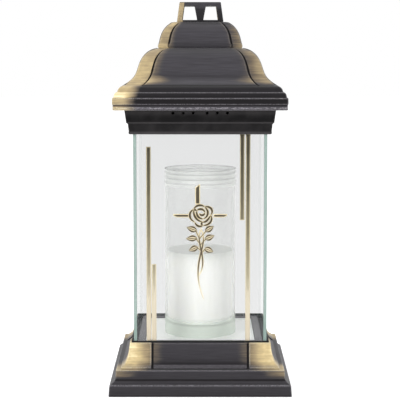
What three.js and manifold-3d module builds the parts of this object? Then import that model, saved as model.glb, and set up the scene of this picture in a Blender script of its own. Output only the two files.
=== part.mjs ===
// A grave lantern: a stepped plinth, a square glass body, a collar and a two-tier lid over a candle insert.
import * as THREE from "three";
import { mergeVertices } from "three/addons/utils/BufferGeometryUtils.js";
import Module from "manifold-3d";

const wasm = await Module();
wasm.setup();

// Driving dimensions in millimetres. The origin is the bottom centre, +Z is up and the front faces -Y.
// A half is measured from the axis to a flat side of the square plan.
const GLASS = {
  half: 60,
  thickness: 3,
  height: 198,
  edgeBevel: 0.4,
  jointGap: 0.2,
};

const PLINTH = {
  glassFit: 0.3,
  rimWidth: 3.3,
  coveRun: 4.6,
  coveRise: 18.7,
  filletRun: 3.2,
  filletRise: 2.4,
  filletFoot: 1.3,
  treadRun: 4.2,
  riserDraft: 0.6,
  riserHeight: 8.7,
  slopeRun: 5,
  slopeRise: 3.8,
  slabDraft: 0.8,
  slabHeight: 10.4,
  wall: 2.6,
  footRim: 4,
  footRimHeight: 3,
  grooveDepth: 3,
  ledgeDrop: 0.3,
  recessInset: 7,
  cornerWidth: 20.3,
  panelDepth: 1,
  panelSeam: 0.6,
  seamDepth: 1.5,
  cornerCut: 0.8,
  ribThickness: 2,
  ribDepth: 10,
  ribPlace: 28,
};

const TRAY = {
  fit: 0.3,
  sheet: 0.5,
  rimHeight: 2.2,
};

const GASKET = {
  height: 1.2,
  glassGap: 0.1,
  edgeInset: 0.5,
};

const COLLAR = {
  glassFit: 0.3,
  lipWall: 3.1,
  overlap: 6.2,
  lowerDraft: 1,
  lowerHeight: 9.4,
  stepRun: 1.4,
  stepRise: 0.9,
  upperFlare: 2.6,
  upperHeight: 17.9,
  wall: 2.8,
  innerLip: 2.6,
  webThickness: 3,
  lowerBead: 0.5,
  beadRise: 2.6,
  cornerCut: 0.8,
  ventDiameter: 2.7,
  ventPitch: 9.05,
  ventMiddleGap: 12.2,
  ventDrop: 9.1,
  ventsPerGroup: 3,
};

const SEAL = {
  fit: 0.1,
  thickness: 0.9,
};

const ROOF = {
  skirtDrop: 6.2,
  skirtReach: 8.7,
  skirtHeight: 4.9,
  rimProud: 0.5,
  rimHeight: 5.9,
  ledgeRun: 1.4,
  ledgeRise: 0.3,
  stepRun: 2.5,
  stepRise: 4.7,
  ovoloRun: 5.9,
  ovoloRise: 5.4,
  domeRise: 32.1,
  neckHalf: 38.5,
  neckRun: 0.5,
  neckRise: 0.5,
  wall: 2.6,
  seatInset: 5.4,
  seatThickness: 2.6,
  ribGap: 1.6,
  ribWidth: 1.6,
  ribDrop: 4.4,
  mouthInset: 5.5,
  panelRaise: 0.8,
  panelSeam: 0.7,
  seamDepth: 0.9,
  cornerCut: 0.8,
};

const TURRET = {
  beadInset: 0.9,
  beadBulge: 0.5,
  beadHeight: 3.9,
  beadStep: 1,
  bellRun: 13.1,
  bellRise: 19.5,
  wall: 2.4,
  spigotFit: 0.3,
  spigotWall: 2.3,
  spigotDepth: 4,
  webThickness: 2.4,
  mouthInset: 6.6,
};

const CROWN = {
  inset: 2.7,
  taper: 2.5,
  railRise: 1.8,
  windowHeight: 12.8,
  capThickness: 3.6,
  capBevel: 0.5,
  wall: 3,
  postWidth: 4.6,
  middleTop: 10.5,
  middleFoot: 5.7,
  spigotFit: 0.3,
  spigotWall: 2,
  spigotDepth: 3.2,
  cornerCut: 0.5,
};

const SHIELD = {
  sheet: 0.8,
  rimDrop: 4,
  seatGap: 6,
  postRadius: 3.5,
  postGap: 3.5,
  postInset: 8,
  screwRadius: 1.4,
  boreFit: 0.3,
  headRadius: 3.4,
  headHeight: 1.8,
  screwLength: 9,
};

const CUP = {
  radius: 33.25,
  wall: 1,
  height: 155.5,
  footHeight: 10.5,
  footDraft: 0.8,
  floorThickness: 1.2,
  rimFlare: 0.4,
  rimHeight: 1.6,
  ringProud: 0.7,
  ringHalfHeight: 0.9,
  ringDrops: [3.2, 7.5, 12.2, 15],
};

const WAX = {
  fit: 0.3,
  height: 66.8,
  edgeRound: 1.2,
};

const WICK = {
  radius: 1.1,
  exposed: 8,
  fit: 0.3,
  discRadius: 8,
  discSheet: 0.5,
  neckWall: 0.5,
  neckHeight: 3,
};

// Gold ornament on the outer face of the front pane: x from the middle, z above the foot of the glass
const STRIPES = {
  width: 3,
  proud: 0.6,
  footLift: 5,
  collarGap: 0.4,
  leftLongInset: 13.7,
  leftLongDrop: 18,
  leftShortInset: 18.4,
  leftShortTop: 74,
  rightLongInset: 17.2,
  rightShortInset: 22.4,
  rightShortLength: 76.4,
};

const CROSS = {
  width: 3.3,
  postOffset: 2.3,
  postTop: 146.2,
  postFoot: 129.4,
  armLift: 118.5,
  armHeight: 2,
  armTaper: 0.8,
  armReach: 23.6,
  leftStart: 10.6,
  rightStart: 12.4,
  tipSlant: 2.4,
};

const ROSE = {
  offset: 0.7,
  lift: 118,
  radius: 10.2,
  strokeWidth: 1.7,
  stemWidth: 1.5,
  stalkWidth: 1,
  leafWidth: 6.2,
};

// Curve controls, each as [share of the run, share of the rise] from the foot or the top of its moulding
const COVE_SHARES = [[1, 0], [0.435, 0.209], [0.152, 0.556], [0, 1]];
const OGEE_FLARE_SHARES = [[1, 0], [0.698, 0.171], [0.662, 0.273], [0.584, 0.491]];
const OGEE_CROWN_SHARES = [[0.584, 0.491], [0.52, 0.677], [0.391, 0.957], [0, 1]];
const BELL_SHARES = [[1, 0], [0.878, 0.307], [0.832, 0.729], [0, 1]];
const PANEL_SHARE = 0.76;

// The rose, drawn in shares of the bloom's radius from its middle, across and up.
// A stroke has four curve controls.
const OUTER_PETAL_SHARES = [
  [[-0.62, 0.62], [-1.12, 0.42], [-1.12, -0.28], [-0.55, -0.5]],
  [[-0.62, 0.62], [-0.5, 1.02], [0.12, 1.08], [0.3, 0.82]],
  [[0.3, 0.82], [0.78, 0.98], [1.2, 0.52], [0.86, 0.1]],
  [[0.86, 0.1], [1.12, -0.36], [0.7, -0.86], [0.16, -0.8]],
  [[-0.55, -0.5], [-0.42, -0.92], [-0.02, -0.98], [0.16, -0.8]],
];
const INNER_PETAL_SHARES = [
  [[-0.62, 0.62], [-0.72, 0.1], [-0.42, -0.42], [0.16, -0.5]],
  [[0.86, 0.1], [0.62, -0.34], [0.4, -0.56], [0.16, -0.5]],
  [[0.16, -0.5], [0.02, -0.6], [0.02, -0.7], [0.16, -0.8]],
  [[0.3, 0.82], [0.72, 0.56], [0.72, -0.02], [0.2, -0.24]],
];
const BUD_SHARES = [
  [[-0.36, 0.5], [-0.44, 0.1], [-0.22, -0.2], [0.2, -0.24]],
  [[-0.36, 0.5], [-0.12, 0.74], [0.28, 0.66], [0.34, 0.32]],
  [[0.34, 0.32], [0.32, 0.04], [-0.08, 0.02], [-0.12, 0.26]],
  [[-0.36, 0.5], [-0.5, 0.56], [-0.56, 0.6], [-0.62, 0.62]],
];
const STEM_SHARES = [
  [[0.06, -1.08], [-0.72, -2.3], [0.92, -3.9], [-0.34, -5.5]],
  [[0.02, -1.2], [0.82, -2.5], [-1.12, -4.2], [0.24, -7.35]],
];
// Each leaf: across and up to its foot, across and up to its tip, and how far down the first stem
// its stalk joins
const LEAF_SHARES = [
  [-0.33, -1.3, -1.28, -0.96, 0.22],
  [0.35, -1.36, 1.14, -0.86, 0.24],
  [-0.31, -1.93, -1.34, -2.0, 0.34],
  [0.33, -2.04, 1.2, -1.7, 0.37],
  [-0.25, -2.7, -1.08, -3.08, 0.48],
  [0.29, -2.82, 1.1, -3.18, 0.52],
];
const STROKE_END_SHARE = 0.5;
const LEAF_BELLY_SHARE = 0.42;
const STALK_REACH_SHARE = 0.15;

// Steps of round stretches
const CURVE_STEPS = 7;
const ARC_STEPS = 3;
const BELL_STEPS = 8;
const ROUND_SIDES = 48;
const SMALL_ROUND_SIDES = 16;
const VENT_SIDES = 10;
const STROKE_STEPS = 8;
const STEM_STEPS = 14;
const LEAF_STEPS = 5;

// How far a cutting shape runs past what it cuts
const OVERRUN = 1;

// Levels above the ground, worked out from the sizes
const LEVEL = {};
LEVEL.riserFoot = PLINTH.slabHeight + PLINTH.slopeRise;
LEVEL.riserTop = LEVEL.riserFoot + PLINTH.riserHeight;
LEVEL.coveFoot = LEVEL.riserTop + PLINTH.filletFoot + PLINTH.filletRise;
LEVEL.rim = LEVEL.coveFoot + PLINTH.coveRise;
LEVEL.ledge = LEVEL.rim - PLINTH.ledgeDrop;
LEVEL.glassFoot = LEVEL.ledge - PLINTH.grooveDepth;
LEVEL.glassTop = LEVEL.glassFoot + GLASS.height;
LEVEL.collarFoot = LEVEL.glassTop - COLLAR.overlap;
LEVEL.seat = LEVEL.collarFoot + COLLAR.lowerHeight + COLLAR.stepRise + COLLAR.upperHeight;
LEVEL.trayTop = LEVEL.glassFoot + TRAY.sheet;

// Half widths that follow from the glass
const HALF = {};
HALF.recess = GLASS.half - GLASS.thickness - PLINTH.recessInset;
HALF.rimInner = GLASS.half + PLINTH.glassFit;
HALF.rim = HALF.rimInner + PLINTH.rimWidth;
HALF.plinthPanel = HALF.rim - PLINTH.cornerWidth;
HALF.coveFoot = HALF.rim + PLINTH.coveRun;
HALF.fillet = HALF.coveFoot + PLINTH.filletRun;
HALF.riserTop = HALF.fillet + PLINTH.treadRun;
HALF.riserFoot = HALF.riserTop + PLINTH.riserDraft;
HALF.slabTop = HALF.riserFoot + PLINTH.slopeRun;
HALF.foot = HALF.slabTop + PLINTH.slabDraft;
HALF.collarFoot = GLASS.half + COLLAR.glassFit + COLLAR.lipWall;
HALF.collarStep = HALF.collarFoot + COLLAR.lowerDraft;
HALF.collarUpper = HALF.collarStep + COLLAR.stepRun;
HALF.collarTop = HALF.collarUpper + COLLAR.upperFlare;
HALF.skirt = HALF.collarTop + ROOF.skirtReach;
HALF.roofRim = HALF.skirt + ROOF.rimProud;
HALF.domeFoot = HALF.roofRim - ROOF.ledgeRun - ROOF.stepRun - ROOF.ledgeRun / 2 - ROOF.ovoloRun;
HALF.neck = ROOF.neckHalf;
HALF.domeTop = HALF.neck + ROOF.neckRun;
HALF.mouth = HALF.neck - ROOF.mouthInset;
HALF.seat = HALF.collarTop - ROOF.seatInset;
HALF.turretBead = HALF.neck - TURRET.beadInset + TURRET.beadBulge;
HALF.turretTop = HALF.turretBead - TURRET.beadStep - TURRET.bellRun;
HALF.turretMouth = HALF.turretTop - TURRET.mouthInset;
HALF.crown = HALF.turretTop - CROWN.inset;
HALF.crownTop = HALF.crown - CROWN.taper;
HALF.post = HALF.mouth + SHIELD.postRadius + SHIELD.postGap;
HALF.shield = HALF.post + SHIELD.postInset;

// The heat shield's height above the lid's seat
const SHIELD_LEVEL = ROOF.seatThickness / 2 + SHIELD.seatGap;

// Finishes
const FINISH = {
  plinth: new THREE.MeshStandardMaterial({ color: 0x45403f, roughness: 0.5, metalness: 0.15 }),
  lid: new THREE.MeshStandardMaterial({ color: 0x514d50, roughness: 0.48, metalness: 0.15 }),
  collar: new THREE.MeshStandardMaterial({ color: 0x242223, roughness: 0.45, metalness: 0 }),
  glass: new THREE.MeshStandardMaterial({
    color: 0xdcebe6,
    roughness: 0.03,
    metalness: 0,
    transparent: true,
    opacity: 0.25,
  }),
  gold: new THREE.MeshStandardMaterial({ color: 0x8a7c58, roughness: 0.4, metalness: 0.6 }),
  tray: new THREE.MeshStandardMaterial({ color: 0xdfe2df, roughness: 0.35, metalness: 0.8 }),
  steel: new THREE.MeshStandardMaterial({ color: 0xb4b4b0, roughness: 0.3, metalness: 0.9 }),
  rubber: new THREE.MeshStandardMaterial({ color: 0x0c0c0c, roughness: 0.6, metalness: 0 }),
  silicone: new THREE.MeshStandardMaterial({ color: 0xd8dcda, roughness: 0.4, metalness: 0 }),
  cup: new THREE.MeshStandardMaterial({
    color: 0xe4e5e2,
    roughness: 0.3,
    metalness: 0,
    transparent: true,
    opacity: 0.5,
  }),
  wax: new THREE.MeshStandardMaterial({ color: 0xf4f4ee, roughness: 0.55, metalness: 0 }),
  cotton: new THREE.MeshStandardMaterial({ color: 0xe8e3d4, roughness: 0.9, metalness: 0 }),
};

// A closed mesh as a solid that can be joined and cut
function toSolid(geometry) {
  const bare = new THREE.BufferGeometry();
  const source = geometry.index ? geometry.toNonIndexed() : geometry;
  bare.setAttribute("position", source.getAttribute("position"));
  const merged = mergeVertices(bare);
  return new wasm.Manifold(
    new wasm.Mesh({
      numProp: 3,
      vertProperties: merged.getAttribute("position").array,
      triVerts: new Uint32Array(merged.index.array),
    }),
  );
}

// A solid as flat-shaded geometry
function toGeometry(solid) {
  const mesh = solid.getMesh();
  const positions = new Float32Array(mesh.numVert * 3);
  for (let i = 0; i < mesh.numVert; i++) {
    const start = i * mesh.numProp;
    positions.set(mesh.vertProperties.subarray(start, start + 3), i * 3);
  }
  const geometry = new THREE.BufferGeometry();
  geometry.setAttribute("position", new THREE.BufferAttribute(positions, 3));
  geometry.setIndex(new THREE.BufferAttribute(new Uint32Array(mesh.triVerts), 1));
  const flat = geometry.toNonIndexed();
  flat.computeVertexNormals();
  return flat;
}

// The side outline of a moulding with a square plan, drawn upwards as half widths and heights.
// A point may carry relief, the share of the panel depth that its middle stretch takes.
class Outline {
  constructor(half, z) {
    this.points = [];
    this.to(half, z);
  }

  to(half, z, relief = 0) {
    this.points.push({ half, z, relief });
    return this;
  }

  // A cubic curve through shares of a run and a rise; the first control is where the outline stands
  curve(shares, half, z, run, rise, steps, relief = 0) {
    const controls = shares.map(([r, h]) => new THREE.Vector2(half + r * run, z + h * rise));
    const drawn = new THREE.CubicBezierCurve(...controls).getPoints(steps);
    drawn.slice(1).forEach((p) => this.to(p.x, p.y, relief));
    return this;
  }

  // A convex quarter round from the last point, in by run and up by rise
  quarterRound(run, rise, steps) {
    const { half, z } = this.points.at(-1);
    for (let i = 1; i <= steps; i++) {
      const turn = ((i / steps) * Math.PI) / 2;
      this.to(half - run * (1 - Math.cos(turn)), z + rise * Math.sin(turn));
    }
    return this;
  }

  // The same outline moved in and down, without relief, for the inside of a wall
  inside(wall) {
    const copy = new Outline(this.points[0].half - wall, this.points[0].z - wall);
    this.points.slice(1).forEach((p) => copy.to(p.half - wall, p.z - wall));
    return copy;
  }
}

// The direction that faces out of the outline at point i, from its neighbours in the same panel
function facing(points, i) {
  const before = points[i - 1]?.relief ? points[i - 1] : points[i];
  const after = points[i + 1]?.relief ? points[i + 1] : points[i];
  return new THREE.Vector2(after.z - before.z, before.half - after.half).normalize();
}

// One level of a square moulding, counter-clockwise from above.
// The panel has an edge for each half width, a seam width, a seam depth and a face depth, negative when sunk.
function squareRing(points, i, cornerCut, panel) {
  const { half, z, relief } = points[i];
  const out = relief ? facing(points, i) : new THREE.Vector2();
  const cut = Math.min(cornerCut, half / 2);
  const side = [[-half + cut, 0]];
  if (panel) {
    const edge = panel.edgeAt(half);
    const stops = [[edge + panel.seam, 0], [edge, -panel.seamDepth], [edge - panel.seam, panel.face]];
    stops.forEach(([along, depth]) => side.push([-along, depth * relief]));
    [...stops].reverse().forEach(([along, depth]) => side.push([along, depth * relief]));
  }
  side.push([half - cut, 0]);
  const ring = [];
  for (let turn = 0; turn < 4; turn++) {
    for (const [along, depth] of side) {
      const p = new THREE.Vector3(along, -(half + depth * out.x), z + depth * out.y);
      ring.push(p.applyAxisAngle(new THREE.Vector3(0, 0, 1), (turn * Math.PI) / 2));
    }
  }
  return ring;
}

// A solid between stacked rings, closed flat at both ends
function loft(rings) {
  const count = rings[0].length;
  const corners = rings.flat();
  const triangles = [];
  for (let level = 0; level + 1 < rings.length; level++) {
    for (let i = 0; i < count; i++) {
      const next = (i + 1) % count;
      const low = level * count;
      const high = low + count;
      triangles.push(low + i, low + next, high + next, low + i, high + next, high + i);
    }
  }
  const addCap = (ring, start, up) => {
    const middle = corners.length;
    const sum = ring.reduce((total, p) => total.add(p), new THREE.Vector3());
    corners.push(sum.divideScalar(count));
    for (let i = 0; i < count; i++) {
      const next = (i + 1) % count;
      triangles.push(middle, start + (up ? i : next), start + (up ? next : i));
    }
  };
  addCap(rings[0], 0, false);
  addCap(rings.at(-1), (rings.length - 1) * count, true);
  const geometry = new THREE.BufferGeometry();
  const flat = corners.flatMap((p) => [p.x, p.y, p.z]);
  geometry.setAttribute("position", new THREE.Float32BufferAttribute(flat, 3));
  geometry.setIndex(triangles);
  return toSolid(geometry);
}

function squareSolid(outline, cornerCut = 0, panel = null) {
  return loft(outline.points.map((p, i) => squareRing(outline.points, i, cornerCut, panel)));
}

// A straight square block or frame between two heights
function squareBlock(half, foot, top) {
  return squareSolid(new Outline(half, foot).to(half, top));
}

function squareFrame(outer, inner, foot, top) {
  return squareBlock(outer, foot, top).subtract(squareBlock(inner, foot - OVERRUN, top + OVERRUN));
}

// A turned piece about the Z axis, from [radius, height] pairs that start and end on the axis or close up
function turned(pairs, sides) {
  const profile = pairs.map(([radius, z]) => new THREE.Vector2(radius, z));
  return new THREE.LatheGeometry(profile, sides).rotateX(Math.PI / 2);
}

function rod(radius, foot, top, sides) {
  const length = top - foot;
  return new THREE.CylinderGeometry(radius, radius, length, sides)
    .rotateX(Math.PI / 2)
    .translate(0, 0, foot + length / 2);
}

// The same shape at the four corners of a square with this half width
function atCorners(half, make) {
  const places = [[-half, -half], [half, -half], [half, half], [-half, half]];
  return places.map(([x, y], i) => make(x, y, i));
}

function plinthOutline() {
  const outline = new Outline(HALF.foot, 0)
    .to(HALF.slabTop, PLINTH.slabHeight)
    .to(HALF.riserFoot, LEVEL.riserFoot)
    .to(HALF.riserTop, LEVEL.riserTop)
    .to(HALF.fillet, LEVEL.riserTop)
    .to(HALF.fillet, LEVEL.riserTop + PLINTH.filletFoot, 1)
    .to(HALF.coveFoot, LEVEL.coveFoot, 1);
  return outline.curve(
    COVE_SHARES, HALF.rim, LEVEL.coveFoot, PLINTH.coveRun, PLINTH.coveRise, CURVE_STEPS, 1,
  );
}

// The hollow plinth: sunk middle panels between corner blocks, a glass groove and a tray recess
function makePlinth() {
  const outline = plinthOutline();
  const panel = {
    edgeAt: () => HALF.plinthPanel,
    seam: PLINTH.panelSeam,
    seamDepth: PLINTH.seamDepth,
    face: -PLINTH.panelDepth,
  };
  const outside = squareSolid(outline, PLINTH.cornerCut, panel);
  const hollow = outline.inside(PLINTH.wall);
  const deckFoot = LEVEL.glassFoot - PLINTH.wall;
  const deck = outside.intersect(squareBlock(HALF.foot, deckFoot, LEVEL.rim + OVERRUN));
  const foot = squareFrame(
    HALF.slabTop, HALF.foot - PLINTH.footRim, 0, PLINTH.footRimHeight,
  ).intersect(outside);
  let body = outside.subtract(squareSolid(hollow)).add(deck).add(foot);
  for (const rib of makeRibs(deckFoot)) {
    body = body.add(rib.intersect(outside));
  }
  const groove = squareFrame(
    HALF.rimInner, GLASS.half - GLASS.thickness - PLINTH.glassFit, LEVEL.glassFoot, LEVEL.rim + OVERRUN,
  );
  const ledge = squareBlock(HALF.rimInner, LEVEL.ledge, LEVEL.rim + OVERRUN);
  const recess = squareBlock(HALF.recess, LEVEL.glassFoot, LEVEL.rim + OVERRUN);
  return toGeometry(body.subtract(groove).subtract(ledge).subtract(recess));
}

// Stiffening ribs under the deck, two each way
function makeRibs(deckFoot) {
  const length = 2 * HALF.rim;
  const height = PLINTH.ribDepth + PLINTH.wall / 2;
  const middle = deckFoot + PLINTH.wall / 2 - height / 2;
  return [0, 1, 2, 3].map((turn) => {
    const rib = new THREE.BoxGeometry(length, PLINTH.ribThickness, height);
    rib.translate(0, PLINTH.ribPlace, middle).rotateZ((turn * Math.PI) / 2);
    return toSolid(rib);
  });
}

// A pressed sheet tray with an upturned rim
function makeTray() {
  const half = HALF.recess - TRAY.fit;
  const floor = squareBlock(half, 0, TRAY.sheet);
  const rim = squareFrame(half, half - TRAY.sheet, 0, TRAY.rimHeight);
  return toGeometry(floor.add(rim));
}

// A black gasket on the rim, round the foot of the glass
function makeGasket() {
  const outer = HALF.rim - GASKET.edgeInset - PLINTH.panelDepth;
  return toGeometry(squareFrame(outer, GLASS.half + GASKET.glassGap, 0, GASKET.height));
}

// A pane as wide as given, standing on z = 0 with its outer face on y = 0
function makePane(width) {
  const bevel = GLASS.edgeBevel;
  const shape = new THREE.Shape();
  shape.moveTo(bevel - width / 2, bevel);
  shape.lineTo(width / 2 - bevel, bevel);
  shape.lineTo(width / 2 - bevel, GLASS.height - bevel);
  shape.lineTo(bevel - width / 2, GLASS.height - bevel);
  shape.closePath();
  const pane = new THREE.ExtrudeGeometry(shape, {
    depth: GLASS.thickness - 2 * bevel,
    bevelThickness: bevel,
    bevelSize: bevel,
    bevelSegments: 1,
  });
  return pane.translate(0, 0, bevel - GLASS.thickness).rotateX(Math.PI / 2);
}

// Vent holes in two groups on each side of the collar, as rods along Y
function ventRods(z) {
  const rods = [];
  const length = 2 * (HALF.collarTop + OVERRUN);
  for (let i = 0; i < COLLAR.ventsPerGroup; i++) {
    const x = COLLAR.ventMiddleGap / 2 + i * COLLAR.ventPitch;
    for (const place of [-x, x]) {
      const hole = new THREE.CylinderGeometry(
        COLLAR.ventDiameter / 2, COLLAR.ventDiameter / 2, length, VENT_SIDES,
      );
      rods.push(hole.translate(place, 0, z), hole.clone().rotateZ(Math.PI / 2));
    }
  }
  return rods.map(toSolid);
}

// The collar holds the glass in a channel from above and carries the lid on its top edge
function makeCollar() {
  const stepFoot = COLLAR.lowerHeight;
  const stepTop = stepFoot + COLLAR.stepRise;
  const top = stepTop + COLLAR.upperHeight;
  const outline = new Outline(HALF.collarFoot, 0)
    .to(HALF.collarFoot + COLLAR.lowerBead, COLLAR.beadRise / 2)
    .to(HALF.collarFoot + COLLAR.lowerBead / 2, COLLAR.beadRise)
    .to(HALF.collarStep, stepFoot)
    .to(HALF.collarUpper, stepTop)
    .to(HALF.collarTop, top);
  const channelRoof = COLLAR.overlap + SEAL.thickness + SEAL.fit;
  const webTop = channelRoof + COLLAR.webThickness;
  const glassInner = GLASS.half - GLASS.thickness - COLLAR.glassFit;
  const channel = squareFrame(GLASS.half + COLLAR.glassFit, glassInner, -OVERRUN, channelRoof);
  const opening = squareBlock(glassInner - COLLAR.innerLip, -OVERRUN, webTop + OVERRUN);
  const webHalf = HALF.collarUpper - COLLAR.wall;
  const throat = new Outline(webHalf, webTop)
    .to(HALF.collarTop - COLLAR.wall, top)
    .to(HALF.collarTop - COLLAR.wall, top + OVERRUN);
  let body = squareSolid(outline, COLLAR.cornerCut).subtract(channel).subtract(opening);
  body = body.subtract(squareSolid(throat));
  for (const hole of ventRods(top - COLLAR.ventDrop)) {
    body = body.subtract(hole);
  }
  return toGeometry(body);
}

// The sealing frame between the top edge of the glass and the roof of the channel
function makeSeal() {
  const outer = GLASS.half;
  return toGeometry(squareFrame(outer, outer - GLASS.thickness, 0, SEAL.thickness));
}

function roofOutline() {
  const rimFoot = ROOF.skirtHeight - ROOF.skirtDrop;
  const rimTop = rimFoot + ROOF.rimHeight;
  const outline = new Outline(HALF.skirt, -ROOF.skirtDrop)
    .to(HALF.skirt, rimFoot)
    .to(HALF.roofRim, rimFoot + ROOF.rimProud)
    .to(HALF.roofRim, rimTop)
    .to(HALF.roofRim - ROOF.ledgeRun, rimTop + ROOF.ledgeRise)
    .quarterRound(ROOF.stepRun, ROOF.stepRise, ARC_STEPS);
  const step = outline.points.at(-1);
  outline
    .to(step.half - ROOF.ledgeRun / 2, step.z + ROOF.ledgeRise)
    .quarterRound(ROOF.ovoloRun, ROOF.ovoloRise, ARC_STEPS);
  const foot = outline.points.at(-1);
  foot.relief = 1;
  const domeRun = HALF.domeFoot - HALF.domeTop;
  outline
    .curve(OGEE_FLARE_SHARES, HALF.domeTop, foot.z, domeRun, ROOF.domeRise, CURVE_STEPS, 1)
    .curve(OGEE_CROWN_SHARES, HALF.domeTop, foot.z, domeRun, ROOF.domeRise, CURVE_STEPS, 1);
  outline.points.at(-1).relief = 0;
  return outline.to(HALF.neck, foot.z + ROOF.domeRise + ROOF.neckRise);
}

// The lower tier of the lid, in heights above the seat: a hollow ogee dome on a stepped rim
function makeRoof() {
  const outline = roofOutline();
  const panel = {
    edgeAt: (half) => PANEL_SHARE * half,
    seam: ROOF.panelSeam,
    seamDepth: ROOF.seamDepth,
    face: ROOF.panelRaise,
  };
  const outside = squareSolid(outline, ROOF.cornerCut, panel);
  const top = outline.points.at(-1).z;
  const seat = squareFrame(HALF.roofRim - ROOF.wall / 2, HALF.seat, 0, ROOF.seatThickness);
  const ribInner = HALF.collarTop + ROOF.ribGap;
  const rib = squareFrame(
    ribInner + ROOF.ribWidth, ribInner, -ROOF.ribDrop, ROOF.seatThickness / 2,
  );
  let body = outside.subtract(squareSolid(outline.inside(ROOF.wall))).add(seat).add(rib);
  for (const post of shieldPosts(top)) {
    body = body.add(post.intersect(outside));
  }
  for (const bore of screwBores()) {
    body = body.subtract(bore);
  }
  const mouth = squareBlock(HALF.mouth, top - ROOF.neckRise - ROOF.wall - OVERRUN, top + OVERRUN);
  return toGeometry(body.subtract(mouth));
}

// Posts under the dome that carry the heat shield
function shieldPosts(top) {
  return atCorners(HALF.post, (x, y) => {
    const post = rod(SHIELD.postRadius, SHIELD_LEVEL + SHIELD.sheet, top, SMALL_ROUND_SIDES);
    return toSolid(post.translate(x, y, 0));
  });
}

// The holes for the shield's screws, through the sheet and up into the posts
function screwBores() {
  const radius = SHIELD.screwRadius + SHIELD.boreFit;
  const top = SHIELD_LEVEL + SHIELD.screwLength + SHIELD.boreFit;
  return atCorners(HALF.post, (x, y) => {
    const bore = rod(radius, SHIELD_LEVEL - OVERRUN, top, SMALL_ROUND_SIDES);
    return toSolid(bore.translate(x, y, 0));
  });
}

// A pressed sheet that keeps the heat off the lid, with a downturned rim and four screw holes
function makeShield() {
  const sheet = squareBlock(HALF.shield, 0, SHIELD.sheet);
  const rim = squareFrame(HALF.shield, HALF.shield - SHIELD.sheet, -SHIELD.rimDrop, SHIELD.sheet / 2);
  let body = sheet.add(rim);
  for (const bore of screwBores()) {
    body = body.subtract(bore.translate([0, 0, -SHIELD_LEVEL]));
  }
  return toGeometry(body);
}

// A round-headed screw with its head under z = 0 and its shank above
function makeScrew() {
  const { headRadius, headHeight, screwRadius, screwLength } = SHIELD;
  return turned(
    [
      [0, -headHeight],
      [headRadius / 2, -headHeight],
      [headRadius, -headHeight / 2],
      [headRadius, 0],
      [screwRadius, 0],
      [screwRadius, screwLength],
      [0, screwLength],
    ],
    SMALL_ROUND_SIDES,
  );
}

function turretOutline() {
  const beadHalf = HALF.turretBead;
  const bellFoot = TURRET.beadHeight;
  const outline = new Outline(beadHalf - TURRET.beadBulge, 0)
    .to(beadHalf, TURRET.beadHeight / 3)
    .to(beadHalf, (TURRET.beadHeight * 2) / 3)
    .to(beadHalf - TURRET.beadBulge, TURRET.beadHeight)
    .to(beadHalf - TURRET.beadStep, bellFoot + TURRET.beadBulge, 1);
  outline.curve(
    BELL_SHARES, HALF.turretTop, bellFoot + TURRET.beadBulge, TURRET.bellRun, TURRET.bellRise, BELL_STEPS, 1,
  );
  outline.points.at(-1).relief = 0;
  return outline;
}

// The upper tier of the lid: a hollow bell on a bead, with a spigot that fits the mouth of the lower tier
function makeTurret() {
  const outline = turretOutline();
  const panel = {
    edgeAt: (half) => PANEL_SHARE * half,
    seam: ROOF.panelSeam,
    seamDepth: ROOF.seamDepth,
    face: ROOF.panelRaise,
  };
  const outside = squareSolid(outline, ROOF.cornerCut, panel);
  const top = outline.points.at(-1).z;
  const spigotHalf = HALF.mouth - TURRET.spigotFit;
  const spigotInner = spigotHalf - TURRET.spigotWall;
  const web = squareFrame(HALF.neck - TURRET.wall, spigotInner, 0, TURRET.webThickness);
  const spigot = squareFrame(spigotHalf, spigotInner, -TURRET.spigotDepth, TURRET.webThickness / 2);
  const mouth = squareBlock(HALF.turretMouth, top - TURRET.wall - OVERRUN, top + OVERRUN);
  const inside = squareSolid(outline.inside(TURRET.wall));
  return toGeometry(outside.subtract(inside).add(web).add(spigot).subtract(mouth));
}

// One window of the crown, a prism along Y that widens towards its foot
function crownWindow(side) {
  const foot = CROWN.railRise;
  const top = foot + CROWN.windowHeight;
  const lean = (HALF.crown - HALF.crownTop) / (top + CROWN.capThickness);
  const outerAt = (z) => HALF.crown - lean * z - CROWN.postWidth;
  const shape = new THREE.Shape();
  shape.moveTo(side * (CROWN.middleFoot / 2), foot);
  shape.lineTo(side * outerAt(foot), foot);
  shape.lineTo(side * outerAt(top), top);
  shape.lineTo(side * (CROWN.middleTop / 2), top);
  shape.closePath();
  const length = 2 * (HALF.crown + OVERRUN);
  const prism = new THREE.ExtrudeGeometry(shape, { depth: length, bevelEnabled: false });
  return prism.rotateX(Math.PI / 2).translate(0, length / 2, 0);
}

// The crown: a tapered square lantern with two windows a side, a closed cap and a spigot
function makeCrown() {
  const capFoot = CROWN.railRise + CROWN.windowHeight;
  const top = capFoot + CROWN.capThickness;
  const outline = new Outline(HALF.crown, 0)
    .to(HALF.crownTop + CROWN.capBevel / 4, top - CROWN.capBevel)
    .to(HALF.crownTop - CROWN.capBevel, top);
  const spigotHalf = HALF.turretMouth - CROWN.spigotFit;
  const spigotInner = spigotHalf - CROWN.spigotWall;
  const throat = squareBlock(spigotInner, -CROWN.spigotDepth - OVERRUN, CROWN.railRise + OVERRUN);
  const chamber = new Outline(HALF.crown - CROWN.wall, CROWN.railRise)
    .to(HALF.crownTop - CROWN.wall, capFoot);
  const spigot = squareBlock(spigotHalf, -CROWN.spigotDepth, CROWN.railRise / 2);
  let body = squareSolid(outline, CROWN.cornerCut).add(spigot);
  body = body.subtract(throat).subtract(squareSolid(chamber));
  for (const side of [-1, 1]) {
    const prism = crownWindow(side);
    body = body.subtract(toSolid(prism));
    body = body.subtract(toSolid(prism.clone().rotateZ(Math.PI / 2)));
  }
  return toGeometry(body);
}

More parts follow.
